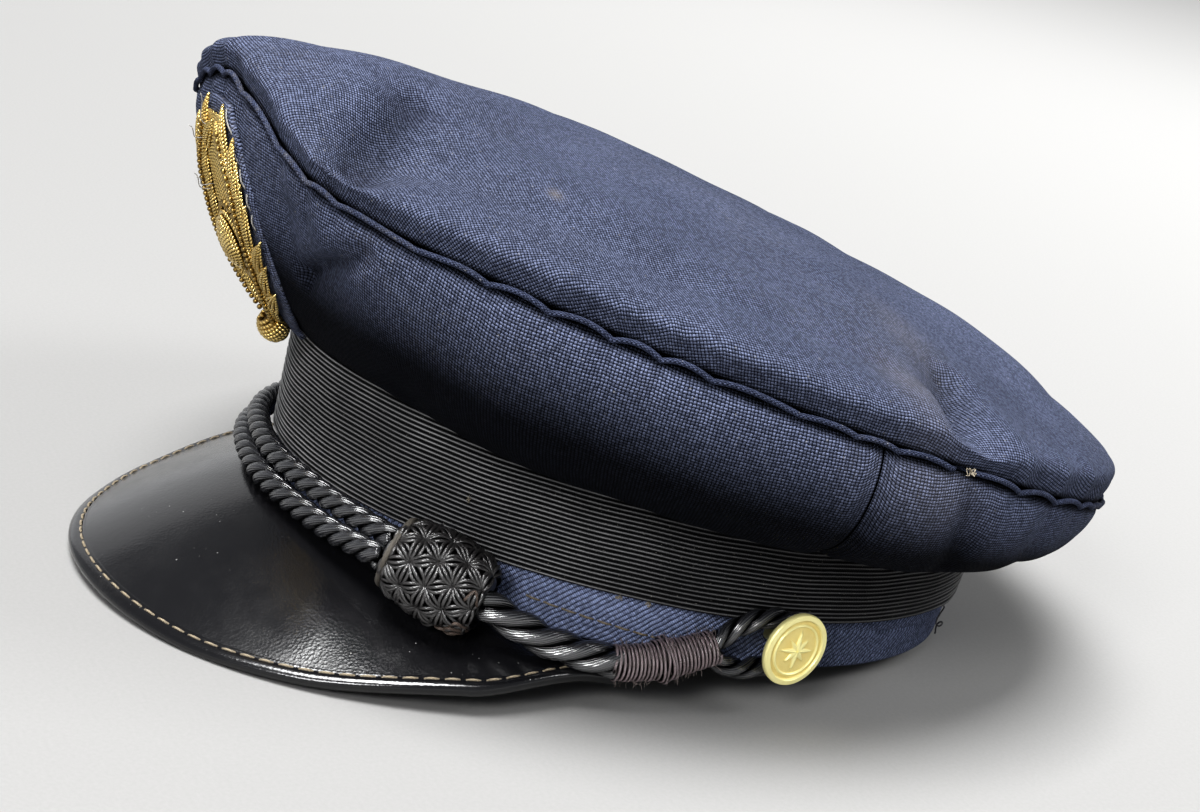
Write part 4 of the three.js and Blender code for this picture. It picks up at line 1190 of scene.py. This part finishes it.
def wire_leaf(across, up, lean, length, side):
    """Pointed leaf of wires side by side, fullest in its middle; lean is its turn from upright."""
    wires = []
    share = np.linspace(0, 1, LEAF_STEPS)
    for strand in np.linspace(-1, 1, LEAF_WIRES):
        aside = strand * LEAF_WIDTH * arch(share ** 0.85)
        ahead = length * (0.06 + 0.94 * share) * (1 - 0.08 * abs(strand))
        leaf_across = across + side * (ahead * math.sin(lean) + aside * math.cos(lean))
        leaf_up = up + ahead * math.cos(lean) - aside * math.sin(lean)
        lift = SPRAY_FLOOR + 0.3 + 1.3 * arch(share) ** 0.7 * (1 - 0.5 * strand ** 2)
        path, normal = on_front(leaf_across, np.clip(leaf_up / BADGE_TALL, 0.02, 0.97), lift)
        wires.append(tube(path, WIRE_RADIUS, 6, facing=normal, taper=0.75 + 0.25 * arch(share)))
    return wires


def bead(centre, radius):
    """Small round bead."""
    steps = np.linspace(0.08, math.pi - 0.08, 8)[:, None]
    angles = ring_angles(10)
    ball = points_of(np.sin(steps) * np.cos(angles), np.sin(steps) * np.sin(angles), np.cos(steps))
    return sheet(centre + radius * ball, np.zeros((8, 11, 2)), ring=True, capped=True)


def badge_spray(side):
    """Stem with leaves to both sides and a row of beads along it."""
    along = np.linspace(SPRAY_STEM[0][0], SPRAY_STEM[-1][0], STEM_STEPS)
    stem_across = smooth_table(SPRAY_STEM, along)
    stem, normal = on_front(side * stem_across, along, SPRAY_FLOOR + 0.9)
    parts = [tube(stem, STEM_RADIUS, 8, facing=normal)]
    slope = np.gradient(stem_across, along * BADGE_TALL)
    for count in range(LEAF_PAIRS):
        spot = 2 + count * 6
        lean = math.atan(slope[spot])
        size = LEAF_LENGTH - 0.8 * abs(count - 3)
        for turned, length in ((0.24, size), (-0.3, size * 0.9)):
            leaf_up = along[spot] * BADGE_TALL
            parts += wire_leaf(side * stem_across[spot], leaf_up, lean + turned, length, side)
    for spot in np.arange(2, STEM_STEPS - 2, 1.5):
        at = np.interp(spot, np.arange(STEM_STEPS), along)
        place = on_front(side * smooth_table(SPRAY_STEM, at), at, SPRAY_FLOOR + 2.1)[0]
        parts.append(bead(place, SPRAY_BEAD))
    return parts


for word, side in (("left", 1), ("right", -1)):
    make_piece("badge_wire_" + word, badge_spray(side), GOLD_WIRE, "badge_spray_" + word)

boss_turns = np.linspace(0, 2 * math.pi * BOSS_TURNS, 420)
boss_share = 1 - boss_turns / boss_turns[-1]
boss_across = BOSS_RADIUS * boss_share * np.cos(boss_turns)
boss_along = BOSS_ALONG + BOSS_RADIUS * boss_share * np.sin(boss_turns) / BADGE_TALL
boss_lift = SPRAY_FLOOR + 0.4 + BOSS_HEIGHT * np.sqrt(np.maximum(1 - boss_share ** 2, 0))
boss_path, boss_normal = on_front(boss_across, boss_along, boss_lift)
boss_parts = [tube(boss_path, BOSS_WIRE, 7, facing=boss_normal)]
couched_along = np.linspace(0.14, 0.9, 40)
couched_half = smooth_table(SPRAY_STEM, couched_along)
for row in np.linspace(-0.95, 0.95, COUCHED_ROWS):
    couched, couched_normal = on_front(row * couched_half, couched_along, SPRAY_FLOOR + 0.2)
    boss_parts.append(tube(couched, WIRE_RADIUS, 6, facing=couched_normal))
for angle in ring_angles(RING_BEADS):
    ring_along = BOSS_ALONG + RING_RADIUS * math.sin(angle) / BADGE_TALL
    ring_place = on_front(RING_RADIUS * math.cos(angle), ring_along, SPRAY_FLOOR + 0.5)[0]
    boss_parts.append(bead(ring_place, RING_BEAD))
knob_turns = np.linspace(0, 2 * math.pi * KNOB_TURNS, 300)
knob_share = np.linspace(-1, 1, 300)
knob_away = KNOB_RADIUS * np.sqrt(1 - 0.97 * knob_share ** 2)
knob_centre, knob_out = on_front(0.0, KNOB_ALONG, SPRAY_FLOOR + 2.2)
knob_up = np.cross(knob_out, (1, 0, 0))
knob_path = (knob_centre + np.outer(KNOB_HALF_TALL * knob_share, knob_up)
             + np.outer(knob_away * np.cos(knob_turns), knob_out) * 0.8
             + np.outer(knob_away * np.sin(knob_turns), (1, 0, 0)))
boss_parts.append(tube(knob_path, KNOB_WIRE, 7, facing=knob_up))
boss_parts.append(bead(knob_centre, 3.0))
make_piece("badge_wire_boss", boss_parts, GOLD_WIRE, "badge_boss")


# Badge basting: pale stitches left at the patch's edge on the wearer's left, and a few threads that have
# frayed out of the work on the other side.
BASTING = {"first": 0.6, "last": 0.92, "pitch": 0.07, "length": 0.055, "inset": 1.5, "radius": 0.2}
FRAY_RADIUS = 0.13
BASTING_PALE = (0.36, 0.35, 0.33, 1)
BASTING_DEEP = (0.12, 0.11, 0.1, 1)
BASTING_THREAD = yarn_material("basting_thread", BASTING_PALE, BASTING_DEEP, threads=3.0, twist=1.0,
                               roughness=0.8)
# across, share of the way up, how far out and how far up a frayed thread reaches
BADGE_FRAYS = [(-5, 0.84, 5, 9), (-7, 0.8, 6.5, 4), (-8, 0.64, 6, 3), (-9, 0.62, 7.5, 6)]

basting = []
for start in np.arange(BASTING["first"], BASTING["last"], BASTING["pitch"]):
    basting_along = start + BASTING["length"] * stitch_share
    basting_across = smooth_table(BACKING_OUTLINE, basting_along) - BASTING["inset"]
    basting_lift = BACKING_SEAT + BACKING_THICK + 0.5 * arch(stitch_share) - 0.1
    basting_path, basting_normal = on_front(basting_across, basting_along, basting_lift)
    basting.append(tube(basting_path, BASTING["radius"], 6, facing=basting_normal))
fray_share = np.linspace(0, 1, 24)
fray_curl = np.outer(np.sin(9 * fray_share) * fray_share, (0.5, 0.3, 0.8))
for across, along, reach, climb in BADGE_FRAYS:
    fray_root, fray_out = on_front(across, along, SPRAY_FLOOR)
    fray_rise = np.outer(climb * fray_share ** 2, (0, 0, 1))
    fray_path = fray_root + np.outer(reach * fray_share, fray_out) + fray_rise + fray_curl
    basting.append(tube(fray_path, FRAY_RADIUS, 5, facing=(1, 0, 0)))
make_piece("badge_basting", basting, BASTING_THREAD)


# Chin cord: three-ply black silk cord. Two strands run across the front, pass through a woven sliding
# knot at each side and go on as one loose-laid end, which thread binds into a loop round the button.
CORD_RADIUS = 3.2
CORD_LAY = 17.0
CORD_END_RADIUS = 4.3
CORD_END_LAY = 28.0
LOOP_RADIUS = 2.8
LOOP_LAY = 19.0
CORD_PLIES = 3
PLY_SHARE = 0.53
ROUTE_STEP = 0.5
CORD_BLACK = (0.026, 0.0268, 0.031, 1)
CORD_DEEP = (0.002, 0.002, 0.003, 1)
CORD_SILK = yarn_material("cord_silk", CORD_BLACK, CORD_DEEP, threads=14.0, twist=0.5, roughness=0.24,
                          dust=0.02, bump=0.5, distance=0.0002, gleam=1.2, groove=1.0)
SATIN_SILK = yarn_material("satin_silk", CORD_BLACK, CORD_DEEP, threads=20.0, twist=0.12, roughness=0.22,
                           dust=0.02, bump=0.5, distance=0.0002, gleam=1.8, groove=1.0)
# turn, distance from the band's cloth, height
CORD_UPPER = [(-51.8, 10.6, 10.9), (-34, 8, 11), (-20, 6, 12), (0, 4.9, 12.8), (20, 6, 12.8),
              (34, 10.8, 13.1)]
CORD_LOWER = [(-51.8, 15, 6.9), (-34, 11, 5.4), (-20, 8.8, 6.4), (0, 7.6, 7.1), (20, 9.4, 7.3),
              (34, 15.2, 8.9)]
CORD_END = {
    "left": [(48, 13.7, 7.4), (49.3, 13.6, 6.6), (57, 11.3, 1.6), (62.7, 10.2, 0.1), (67.5, 9.2, -0.5)],
    "right": [(-64.6, 13, 6.6), (-66.2, 12.2, 5.6), (-67.6, 11.2, 4.3), (-70, 9.6, 3)],
}
CORD_LOOP = [(79.6, 5.6, 7.6), (80.8, 5.2, 9.6), (83.5, 5.2, 14), (87, 5.2, 16.4), (91, 4.9, 15.4),
             (93.6, 3.6, 10.5), (91, 3.6, 4.8), (87, 4.6, 2), (83, 5.2, 1.8), (80.6, 5.4, 3.8),
             (79.4, 5.6, 5.2)]


def route(rows):
    """Evenly stepped smooth path through the rows of a route table."""
    knots = band_point(*np.array(rows, float).T)
    knots = np.concatenate([[2 * knots[0] - knots[1]], knots, [2 * knots[-1] - knots[-2]]])
    stretches = []
    for spot in range(len(knots) - 3):
        a, b, c, d = knots[spot:spot + 4]
        t1 = np.linalg.norm(b - a) ** 0.5
        t2 = t1 + np.linalg.norm(c - b) ** 0.5
        t3 = t2 + np.linalg.norm(d - c) ** 0.5
        t = np.linspace(t1, t2, 30, endpoint=spot == len(knots) - 4)[:, None]
        ab = a + (b - a) * t / t1
        bc = b + (c - b) * (t - t1) / (t2 - t1)
        cd = c + (d - c) * (t - t2) / (t3 - t2)
        abc = ab + (bc - ab) * t / t2
        bcd = bc + (cd - bc) * (t - t1) / (t3 - t1)
        stretches.append(abc + (bcd - abc) * (t - t1) / (t2 - t1))
    path = np.concatenate(stretches)
    length = lengths_along(path)
    even = np.linspace(0, length[-1], max(int(length[-1] / ROUTE_STEP), 8))
    return at_lengths(even, length, path)


def laid_cord(rows, radius, lay, phase=0.0):
    """Plies twisted round a route; lay is the length of one full twist."""
    path = route(rows)
    aside, above, _ = path_frame(path)
    twist = lengths_along(path) / lay
    ply = radius * PLY_SHARE
    strands = []
    for count in range(CORD_PLIES):
        angle = (phase + 2 * math.pi * (twist + count / CORD_PLIES))[:, None]
        away = aside * np.cos(angle) + above * np.sin(angle)
        strands.append(tube(path + away * (radius - ply), ply, 12, facing=away))
    return strands


for label, rows, phase in (("cord_upper", CORD_UPPER, 0.0), ("cord_lower", CORD_LOWER, 1.1)):
    make_piece(label + "_plies", laid_cord(rows, CORD_RADIUS, CORD_LAY, phase), CORD_SILK, label)

for word, side in (("left", 1), ("right", -1)):
    end_plies = laid_cord(CORD_END[word], CORD_END_RADIUS, CORD_END_LAY, phase=0.8)
    make_piece("cord_end_plies_" + word, end_plies, SATIN_SILK, "cord_end_" + word)
    loop_rows = [(side * turn, out, height) for turn, out, height in CORD_LOOP]
    loop_plies = laid_cord(loop_rows, LOOP_RADIUS, LOOP_LAY)
    make_piece("cord_loop_plies_" + word, loop_plies, CORD_SILK, "cord_loop_" + word)


# Sliding knots: barrels woven of fine black silk over a core. Bundles of three threads rise and dive
# between dark holes in a six-way net, and a worn tape ring closes the front end.
KNOT_RADIUS = 10.3
KNOT_END_RADIUS = 6.6
KNOT_LENGTH = 26.0
KNOT_HOLES_ROUND = 9
KNOT_ROWS = 5
KNOT_THREAD = 0.56
KNOT_SPREAD = 1.2
KNOT_SUNK = -0.9
KNOT_MAP_LENGTH = 24.0
WORN_THREAD = 0.4
TAPE_MAP_WIDTH = 4.0
KNOT_BLACK = (0.024, 0.022, 0.022, 1)
KNOT_BROWN = (0.1, 0.07, 0.055, 1)
KNOT_BROWN_DEEP = (0.01, 0.007, 0.005, 1)
TAPE_GREY = (0.11, 0.098, 0.08, 1)
TAPE_DEEP = (0.05, 0.045, 0.04, 1)
KNOT_SILK = yarn_material("knot_silk", KNOT_BLACK, CORD_DEEP, threads=5.0, twist=1.1, roughness=0.32,
                          dust=0.1, bump=0.4, distance=0.00015, gleam=0.95, groove=1.0)
BROWN_SILK = yarn_material("brown_silk", KNOT_BROWN, KNOT_BROWN_DEEP, threads=5.0, twist=1.1, roughness=0.5)
TAPE = yarn_material("tape", TAPE_GREY, TAPE_DEEP, threads=40.0, twist=3.0, roughness=0.6, dust=0.4)
# turn, distance from the band's cloth, height
KNOT_ROUTE = {"left": [(35, 13.8, 11.7), (48.6, 13.8, 7.3)], "right": [(-52.6, 13, 8.7), (-65.2, 13, 6.5)]}
# rows ahead, holes to the side: from one hole to the next ones
KNOT_STEPS = [(0, 1.0), (1, 0.5), (1, -0.5)]
# angle round the knot, share along it at which a worn brown loop starts, share that it spans
WORN_LOOPS = [(-1.5, 0.76, 0.2), (-1.3, 0.8, 0.19), (-1.05, 0.78, 0.2), (-0.8, 0.84, 0.15),
              (-1.75, 0.7, 0.24), (-1.2, 0.7, 0.18), (0.15, 0.88, 0.12)]
# share along the knot, lift over it: section of the tape ring
TAPE_SECTION = [(0, -2.5), (0, 1), (0.01, 1.6), (0.03, 1.5), (0.06, 1.2), (0.07, -0.8)]


def barrel_point(path, angle, share, lift):
    """Point on the knot's barrel, and the way out there: angle round it, share along it, lift over it."""
    angle, share, lift = np.broadcast_arrays(angle, np.clip(share, 0, 1), lift)
    spot = share * (len(path) - 1)
    steps = np.arange(len(path))
    middle, aside, above = [at_lengths(spot, steps, part) for part in (path, *path_frame(path)[:2])]
    radius = KNOT_END_RADIUS + (KNOT_RADIUS - KNOT_END_RADIUS) * np.sqrt(np.maximum(arch(share), 0)) + lift
    out = aside * np.cos(angle)[..., None] + above * np.sin(angle)[..., None]
    return middle + out * radius[..., None], out


def knot_bundle(path, row, hole, ahead, aside, random):
    """Three threads side by side from one hole of the net to another, arching over the barrel."""
    share = np.linspace(0, 1, 11)
    first = 2 * math.pi * (hole + 0.5 * (row % 2)) / KNOT_HOLES_ROUND
    sweep = 2 * math.pi * aside / KNOT_HOLES_ROUND
    low = 0.04 + 0.92 * row / (KNOT_ROWS - 1)
    climb = 0.92 * ahead / (KNOT_ROWS - 1)
    slant = math.atan2(climb * KNOT_LENGTH, sweep * KNOT_RADIUS)
    threads = []
    for strand in (-1.0, 0.0, 1.0):
        spread = strand * KNOT_SPREAD * (0.3 + 0.7 * arch(share)) + random.normal(0, 0.1)
        angle = first + sweep * share - spread * math.sin(slant) / KNOT_RADIUS
        along = low + climb * share + spread * math.cos(slant) / KNOT_LENGTH
        lift = KNOT_SUNK + (1.95 - 0.3 * strand ** 2 + random.normal(0, 0.15)) * arch(share) ** 0.8
        points, out = barrel_point(path, angle, along, lift)
        threads.append(tube(points, KNOT_THREAD, 6, facing=out))
    return threads


def knot_parts(path, seed):
    """Core of a knot, and the bundles of threads from hole to hole of the net over it."""
    random = np.random.default_rng(seed)
    core = barrel_point(path, ring_angles(40), np.linspace(0, 1, 30)[:, None], KNOT_SUNK)[0]
    core_map = map_of(np.linspace(0, 1, 41), np.linspace(0, KNOT_MAP_LENGTH, 30))
    parts = [sheet(core, core_map, ring=True, capped=True)]
    for row in range(KNOT_ROWS):
        for hole in range(KNOT_HOLES_ROUND):
            for ahead, aside in KNOT_STEPS:
                if row + ahead < KNOT_ROWS:
                    parts += knot_bundle(path, row, hole, ahead, aside, random)
    return parts


worn_share = np.linspace(0, 1, 14)
tape_shares, tape_lifts = np.array(TAPE_SECTION, float).T[:, :, None]
tape_angles = ring_angles(48)
tape_map = map_of(np.linspace(0, 1, 49), np.linspace(0, TAPE_MAP_WIDTH, len(TAPE_SECTION)))
for word, side, seed in (("left", 1, 8), ("right", -1, 6)):
    knot_path = route(KNOT_ROUTE[word])
    make_piece("knot_threads_" + word, knot_parts(knot_path, seed), KNOT_SILK, "knot_" + word)
    worn_threads = []
    for angle, start, length in WORN_LOOPS:
        worn_angles = side * angle + 0.35 * arch(worn_share)
        worn_lifts = 0.6 + 1.1 * arch(worn_share)
        worn_path, worn_out = barrel_point(knot_path, worn_angles, start + length * worn_share, worn_lifts)
        worn_threads.append(tube(worn_path, WORN_THREAD, 6, facing=worn_out))
    make_piece("knot_worn_loops_" + word, worn_threads, BROWN_SILK)
    tape_uneven = tape_lifts + 0.25 * np.sin(5 * tape_angles)
    tape_grid = barrel_point(knot_path, tape_angles, tape_shares, tape_uneven)[0]
    make_piece("knot_tape_" + word, [sheet(tape_grid, tape_map, ring=True)], TAPE)


# Whippings: brown-black thread wound tightly round the cord where its end is turned back, with a lumpy
# collar in the middle and loose fibres rubbed up all over.
WHIP_RADIUS = 4.5
WHIP_THREAD = 0.41
WHIP_PITCH = 1.0
WHIP_STEPS_PER_TURN = 22
WHIP_CORE = WHIP_RADIUS - 1.1
WHIP_CORE_SIDES = 16
COLLAR_LIFT = 1.1
COLLAR_SPAN = 0.07
WHIP_FIBRES = 230
WHIP_FIBRE_RADIUS = 0.07
WHIP_BROWN = (0.28, 0.21, 0.223, 1)
WHIP_DEEP = (0.004, 0.003, 0.004, 1)
FIBRE_BROWN = (0.16, 0.13, 0.12, 1)
FIBRE_DEEP = (0.08, 0.06, 0.06, 1)
WHIP_THREADS = yarn_material("whipping_thread", WHIP_BROWN, WHIP_DEEP, threads=4.0, twist=1.5,
                             roughness=0.32, dust=0.12, gleam=1.2, groove=0.9)
FIBRE = yarn_material("loose_fibre", FIBRE_BROWN, FIBRE_DEEP, threads=2.0, twist=1.0, roughness=0.8)
# turn, distance from the band's cloth, height
WHIP_ROUTE = {
    "left": [(66.4, 9.3, -0.7), (67.1, 9.2, -0.6), (72.5, 7.4, 1.4), (79, 5.8, 6), (80, 5.6, 6.7)],
    "right": [(-69, 10, 3), (-69.6, 9.8, 3), (-74, 7.6, 3.2), (-79, 5.8, 6), (-80, 5.6, 6.7)],
}


def whipping_parts(path, seed):
    """Thread wound round a path over a core, and fibres standing off it."""
    random = np.random.default_rng(seed)
    frame_parts = path_frame(path)
    length = lengths_along(path)
    turns = int(length[-1] / WHIP_PITCH)
    spot = np.linspace(0, length[-1], turns * WHIP_STEPS_PER_TURN)
    angle = np.linspace(0, 2 * math.pi * turns, turns * WHIP_STEPS_PER_TURN)
    share = spot / length[-1]
    collar = COLLAR_LIFT * bell(share - 0.5, COLLAR_SPAN) * (1 + 0.5 * np.sin(3.3 * angle))
    reach = WHIP_RADIUS - 0.4 + 0.35 * arch(share) + collar + 0.12 * np.sin(angle * 0.37)
    middle, aside, above, ahead = [at_lengths(spot, length, part) for part in (path, *frame_parts)]
    away = aside * np.cos(angle)[:, None] + above * np.sin(angle)[:, None]
    wound = [tube(middle + away * reach[:, None], WHIP_THREAD, 6, facing=away)]
    core_round = around(*frame_parts[:2], ring_angles(WHIP_CORE_SIDES))
    core_map = map_of(np.linspace(0, 1, WHIP_CORE_SIDES + 1), length)
    wound.append(sheet(path[:, None] + core_round * WHIP_CORE, core_map, ring=True, capped=True))
    bend = np.linspace(0, 1, 5)[:, None]
    fibres = []
    for strand in random.integers(0, len(spot), WHIP_FIBRES):
        root = middle[strand] + away[strand] * (reach[strand] + 0.2)
        lean = away[strand] * random.uniform(0.4, 1.6) + random.normal(0, 0.7, 3)
        curl = random.normal(0, 0.35, 3) * bend * (1 - bend) * 4
        fibres.append(tube(root + lean * bend + curl, WHIP_FIBRE_RADIUS, 4, facing=ahead[strand]))
    return wound, fibres


for word, seed in (("left", 3), ("right", 5)):
    wound, fibres = whipping_parts(route(WHIP_ROUTE[word]), seed)
    make_piece("whipping_thread_" + word, wound, WHIP_THREADS, "whipping_" + word)
    make_piece("whipping_fibres_" + word, fibres, FIBRE)


# Side buttons: pressed gilt shells on shanks through the band. Each has a flat raised rim, a raised
# circle inside it and a plain eight-pointed star on a stippled ground.
BUTTON_TURN = 89.5
BUTTON_HEIGHT = 10.5
BUTTON_SEAT = 0.3
BUTTON_STAND = 8.8
BUTTON_RADIUS = 9.8
BUTTON_SHANK = 2.2
BUTTON_SWING = 8.0
BUTTON_COLUMNS = 192
FACE_ROWS = 74
FACE_HEIGHT = 1.5
FACE_DOME = 0.5
FACE_RADIUS = 8.3
RIM_FROM = 8.05
RIM_SLOPE = 0.25
RIM_RISE = 0.75
CIRCLE_RADIUS = 6.75
CIRCLE_WIDTH = 0.32
CIRCLE_RISE = 0.5
STAR_LONG = 5.6
STAR_SHORT = 4.3
STAR_WAIST = 2.1
STAR_RISE = 0.85
STAR_BEVEL = 0.5
STAR_FIELD = 6.0
RELIEF_STEP = 0.35
GILT_BRIGHT = (1.0, 0.93, 0.45, 1)
GILT_DULL = (0.8, 0.58, 0.16, 1)
# distance from the middle, distance in front of the head's back: round its edge and down the shank
BUTTON_BACK = [(9.6, 2.1), (9.8, 1.4), (9.7, 0.6), (8.7, 0), (BUTTON_SHANK, 0),
               (BUTTON_SHANK, -BUTTON_STAND)]


def star_reach(angle):
    """Distance from the middle to the star's outline, in the direction of an angle."""
    eighth = math.pi / 4
    count = np.floor(angle / eighth)
    inside = angle - count * eighth
    long_first = (count % 2) == 0
    tip_angle = np.where(inside < eighth / 2, inside, eighth - inside)
    tip = np.where((inside < eighth / 2) == long_first, STAR_LONG, STAR_SHORT)
    waist_x = STAR_WAIST * math.cos(eighth / 2)
    waist_y = STAR_WAIST * math.sin(eighth / 2)
    return tip * waist_y / (np.cos(tip_angle) * waist_y - np.sin(tip_angle) * (waist_x - tip))


def button_field(away):
    """How far the plain domed ground of the face stands in front of the back of the head."""
    return FACE_HEIGHT + FACE_DOME * (1 - (away / FACE_RADIUS) ** 2)


def button_face(away, angle):
    """How far the face with its rim, circle and star stands in front of the back of the head."""
    rim = np.clip((away - RIM_FROM) / RIM_SLOPE, 0, 1) * RIM_RISE
    circle = CIRCLE_RISE * np.exp(-((away - CIRCLE_RADIUS) / CIRCLE_WIDTH) ** 4)
    inside = star_reach(angle) - away
    star = STAR_RISE * (np.clip(inside / STAR_BEVEL, 0, 1) + np.clip(inside / STAR_LONG, 0, 1)) / 2
    return button_field(away) + rim + circle + np.where(away < STAR_FIELD, star, 0)


def gilt_material():
    """Polished gilt, duller in its hollows and finely scratched."""
    material, tree, shader, place, _ = new_material("gilt")
    dull = ranged(tree, noise(tree, place, 220.0, 4.0, 0.6), 0.4, 0.75)
    hollow = surface_mark(tree, "hollow")
    tarnish = maths(tree, "MULTIPLY", maths(tree, "ADD", maths(tree, "MULTIPLY", dull, 0.3), hollow), 0.5)
    rough = maths(tree, "MULTIPLY_ADD", hollow, 1.0, 0.12)
    stipple = maths(tree, "MULTIPLY", noise(tree, place, 2400.0, 2.0), rough)
    set_inputs(tree, shader, {
        "Base Color": mixed(tree, tarnish, GILT_BRIGHT, GILT_DULL),
        "Roughness": ranged(tree, tarnish, 0.0, 0.7, 0.42, 0.55),
        "Metallic": 0.45,
        "Normal": raised(tree, stipple, 0.5, 0.0003),
    })
    return material


GILT = gilt_material()
button_angles = ring_angles(BUTTON_COLUMNS)
face_away = np.linspace(0.05, BUTTON_RADIUS - 0.35, FACE_ROWS)[:, None]
face_ahead = button_face(face_away, button_angles)
back_away, back_ahead = np.array(BUTTON_BACK, float).T[:, :, None]
button_away = np.concatenate([face_away, back_away])
button_ahead = np.concatenate([face_ahead, back_ahead * np.ones(BUTTON_COLUMNS)]) + BUTTON_STAND
button_ground = 1 - np.clip((face_ahead - button_field(face_away)) / RELIEF_STEP, 0, 1)
button_hollow = np.concatenate([button_ground, np.zeros((len(BUTTON_BACK), BUTTON_COLUMNS))])
button_map = np.zeros((len(button_away), BUTTON_COLUMNS + 1, 2))
for word, side in (("left", 1), ("right", -1)):
    swing = math.radians(side * (BUTTON_TURN + BUTTON_SWING))
    out = np.array([math.sin(swing), -math.cos(swing), 0])
    level = np.array([-out[1], out[0], 0])
    foot = band_point(side * BUTTON_TURN, BUTTON_SEAT, BUTTON_HEIGHT)
    button_round = np.outer(np.cos(button_angles), level) + np.outer(np.sin(button_angles), (0, 0, 1))
    button_grid = foot + out * button_ahead[..., None] + button_away[..., None] * button_round
    make_piece("gilt_button_" + word, [sheet(button_grid, button_map, ring=True, capped=True)], GILT,
               "button_" + word, {"hollow": button_hollow})


# Stage: a plain pale floor, lightened away to the right by painted light, one large soft light high
# over the cap, weaker ones at its front, its left rear and its far side, and the camera low at the
# wearer's left front.
FLOOR_HALF = 6.0
FLOOR_DROP = 0.0003
FLOOR_WHITE = (0.27, 0.268, 0.264, 1)
FLOOR_WAY = (-0.24, 0.97, 0)
# metres along the floor's way, painted light on the floor there as a factor of its colour
FLOOR_NEAR = (-0.25, 0.85)
FLOOR_FAR = (1.6, 1.6)
SKY_COLOUR = (0.95, 0.97, 1.0, 1)
SKY_LOW = 0.44
SKY_HIGH = 0.2
LIGHT_AIM = (0, 0, 0.05)
# name, place in metres, width, power in watts
SOFT_LIGHTS = [
    ("high_lamp", (0.5, -1.0, 4.2), 2.2, 420),
    ("front_lamp", (1.7, -2.0, 1.6), 0.8, 50),
    ("side_lamp", (1.6, 2.6, 2.6), 1.4, 75),
    ("far_card", (-3.0, 0.0, 0.8), 2.0, 6),
]
CAMERA_PLACE = (486.29, -312.09, 185.93)
CAMERA_AZIMUTH = math.radians(58.72)
CAMERA_ELEVATION = math.radians(14.61)
CAMERA_ROLL = math.radians(16.53)
CAMERA_SENSOR = 36
CAMERA_LENS = 2096.6 / 1200 * CAMERA_SENSOR

scene = bpy.context.scene
floor_corners = [(x * FLOOR_HALF, y * FLOOR_HALF, 0) for x, y in ((-1, -1), (1, -1), (1, 1), (-1, 1))]
floor_mesh = bpy.data.meshes.new("floor")
floor_mesh.from_pydata(floor_corners, [], [(0, 1, 2, 3)])
floor = bpy.data.objects.new("floor", floor_mesh)
floor.location.z = -FLOOR_DROP
scene.collection.objects.link(floor)
floor_material, floor_tree, floor_shader, floor_place, _ = new_material("pale_paper")
paper = ranged(floor_tree, noise(floor_tree, floor_place, 900.0, 3.0, 0.7), 0.2, 0.8, 0.93, 1.0)
# Painted light: the floor's colour grows paler along its way.
along_floor = add_node(floor_tree, "ShaderNodeVectorMath", {0: floor_place, 1: FLOOR_WAY},
                       operation="DOT_PRODUCT").outputs["Value"]
floor_painted_light = ranged(floor_tree, along_floor, FLOOR_NEAR[0], FLOOR_FAR[0], FLOOR_NEAR[1], FLOOR_FAR[1])
paper_and_painted_light = maths(floor_tree, "MULTIPLY", paper, floor_painted_light)
paper_tint = scaled(floor_tree, FLOOR_WHITE[:3], paper_and_painted_light)
set_inputs(floor_tree, floor_shader, {"Base Color": paper_tint, "Roughness": 0.9})
floor_mesh.materials.append(floor_material)

world = bpy.data.worlds.new("studio")
world.use_nodes = True
sky = world.node_tree
sky_way = sky.nodes.new("ShaderNodeTexCoord").outputs["Generated"]
sky_height = add_node(sky, "ShaderNodeSeparateXYZ", {0: sky_way}).outputs[2]
sky_glow = ranged(sky, sky_height, 0.1, 0.8, SKY_LOW, SKY_HIGH)
set_inputs(sky, sky.nodes["Background"], {"Color": SKY_COLOUR, "Strength": sky_glow})
scene.world = world

for label, place, width, power in SOFT_LIGHTS:
    lamp = bpy.data.lights.new(label, "AREA")
    lamp.size = width
    lamp.energy = power
    light = bpy.data.objects.new(label, lamp)
    light.location = place
    light.rotation_euler = (Vector(LIGHT_AIM) - Vector(place)).to_track_quat("-Z", "Y").to_euler()
    scene.collection.objects.link(light)

back = np.array([math.sin(CAMERA_AZIMUTH) * math.cos(CAMERA_ELEVATION),
                 -math.cos(CAMERA_AZIMUTH) * math.cos(CAMERA_ELEVATION), math.sin(CAMERA_ELEVATION)])
level_right = unit(np.cross(-back, (0, 0, 1)))
level_up = np.cross(level_right, -back)
right = level_right * math.cos(CAMERA_ROLL) + level_up * math.sin(CAMERA_ROLL)
above = level_up * math.cos(CAMERA_ROLL) - level_right * math.sin(CAMERA_ROLL)
lean = Matrix.Rotation(REST_TILT, 4, "X")
axes = Matrix(np.stack([right, above, back], 1).tolist()).to_4x4()
camera = bpy.data.objects.new("camera", bpy.data.cameras.new("camera"))
camera.data.lens = CAMERA_LENS
camera.data.sensor_width = CAMERA_SENSOR
camera.data.sensor_fit = "HORIZONTAL"
camera.data.clip_start = 0.01
camera.matrix_world = Matrix.Translation(Vector(set_down(CAMERA_PLACE))) @ lean @ axes
scene.collection.objects.link(camera)
scene.camera = camera
scene.view_settings.view_transform = "Standard"
scene.view_settings.look = "Medium High Contrast"
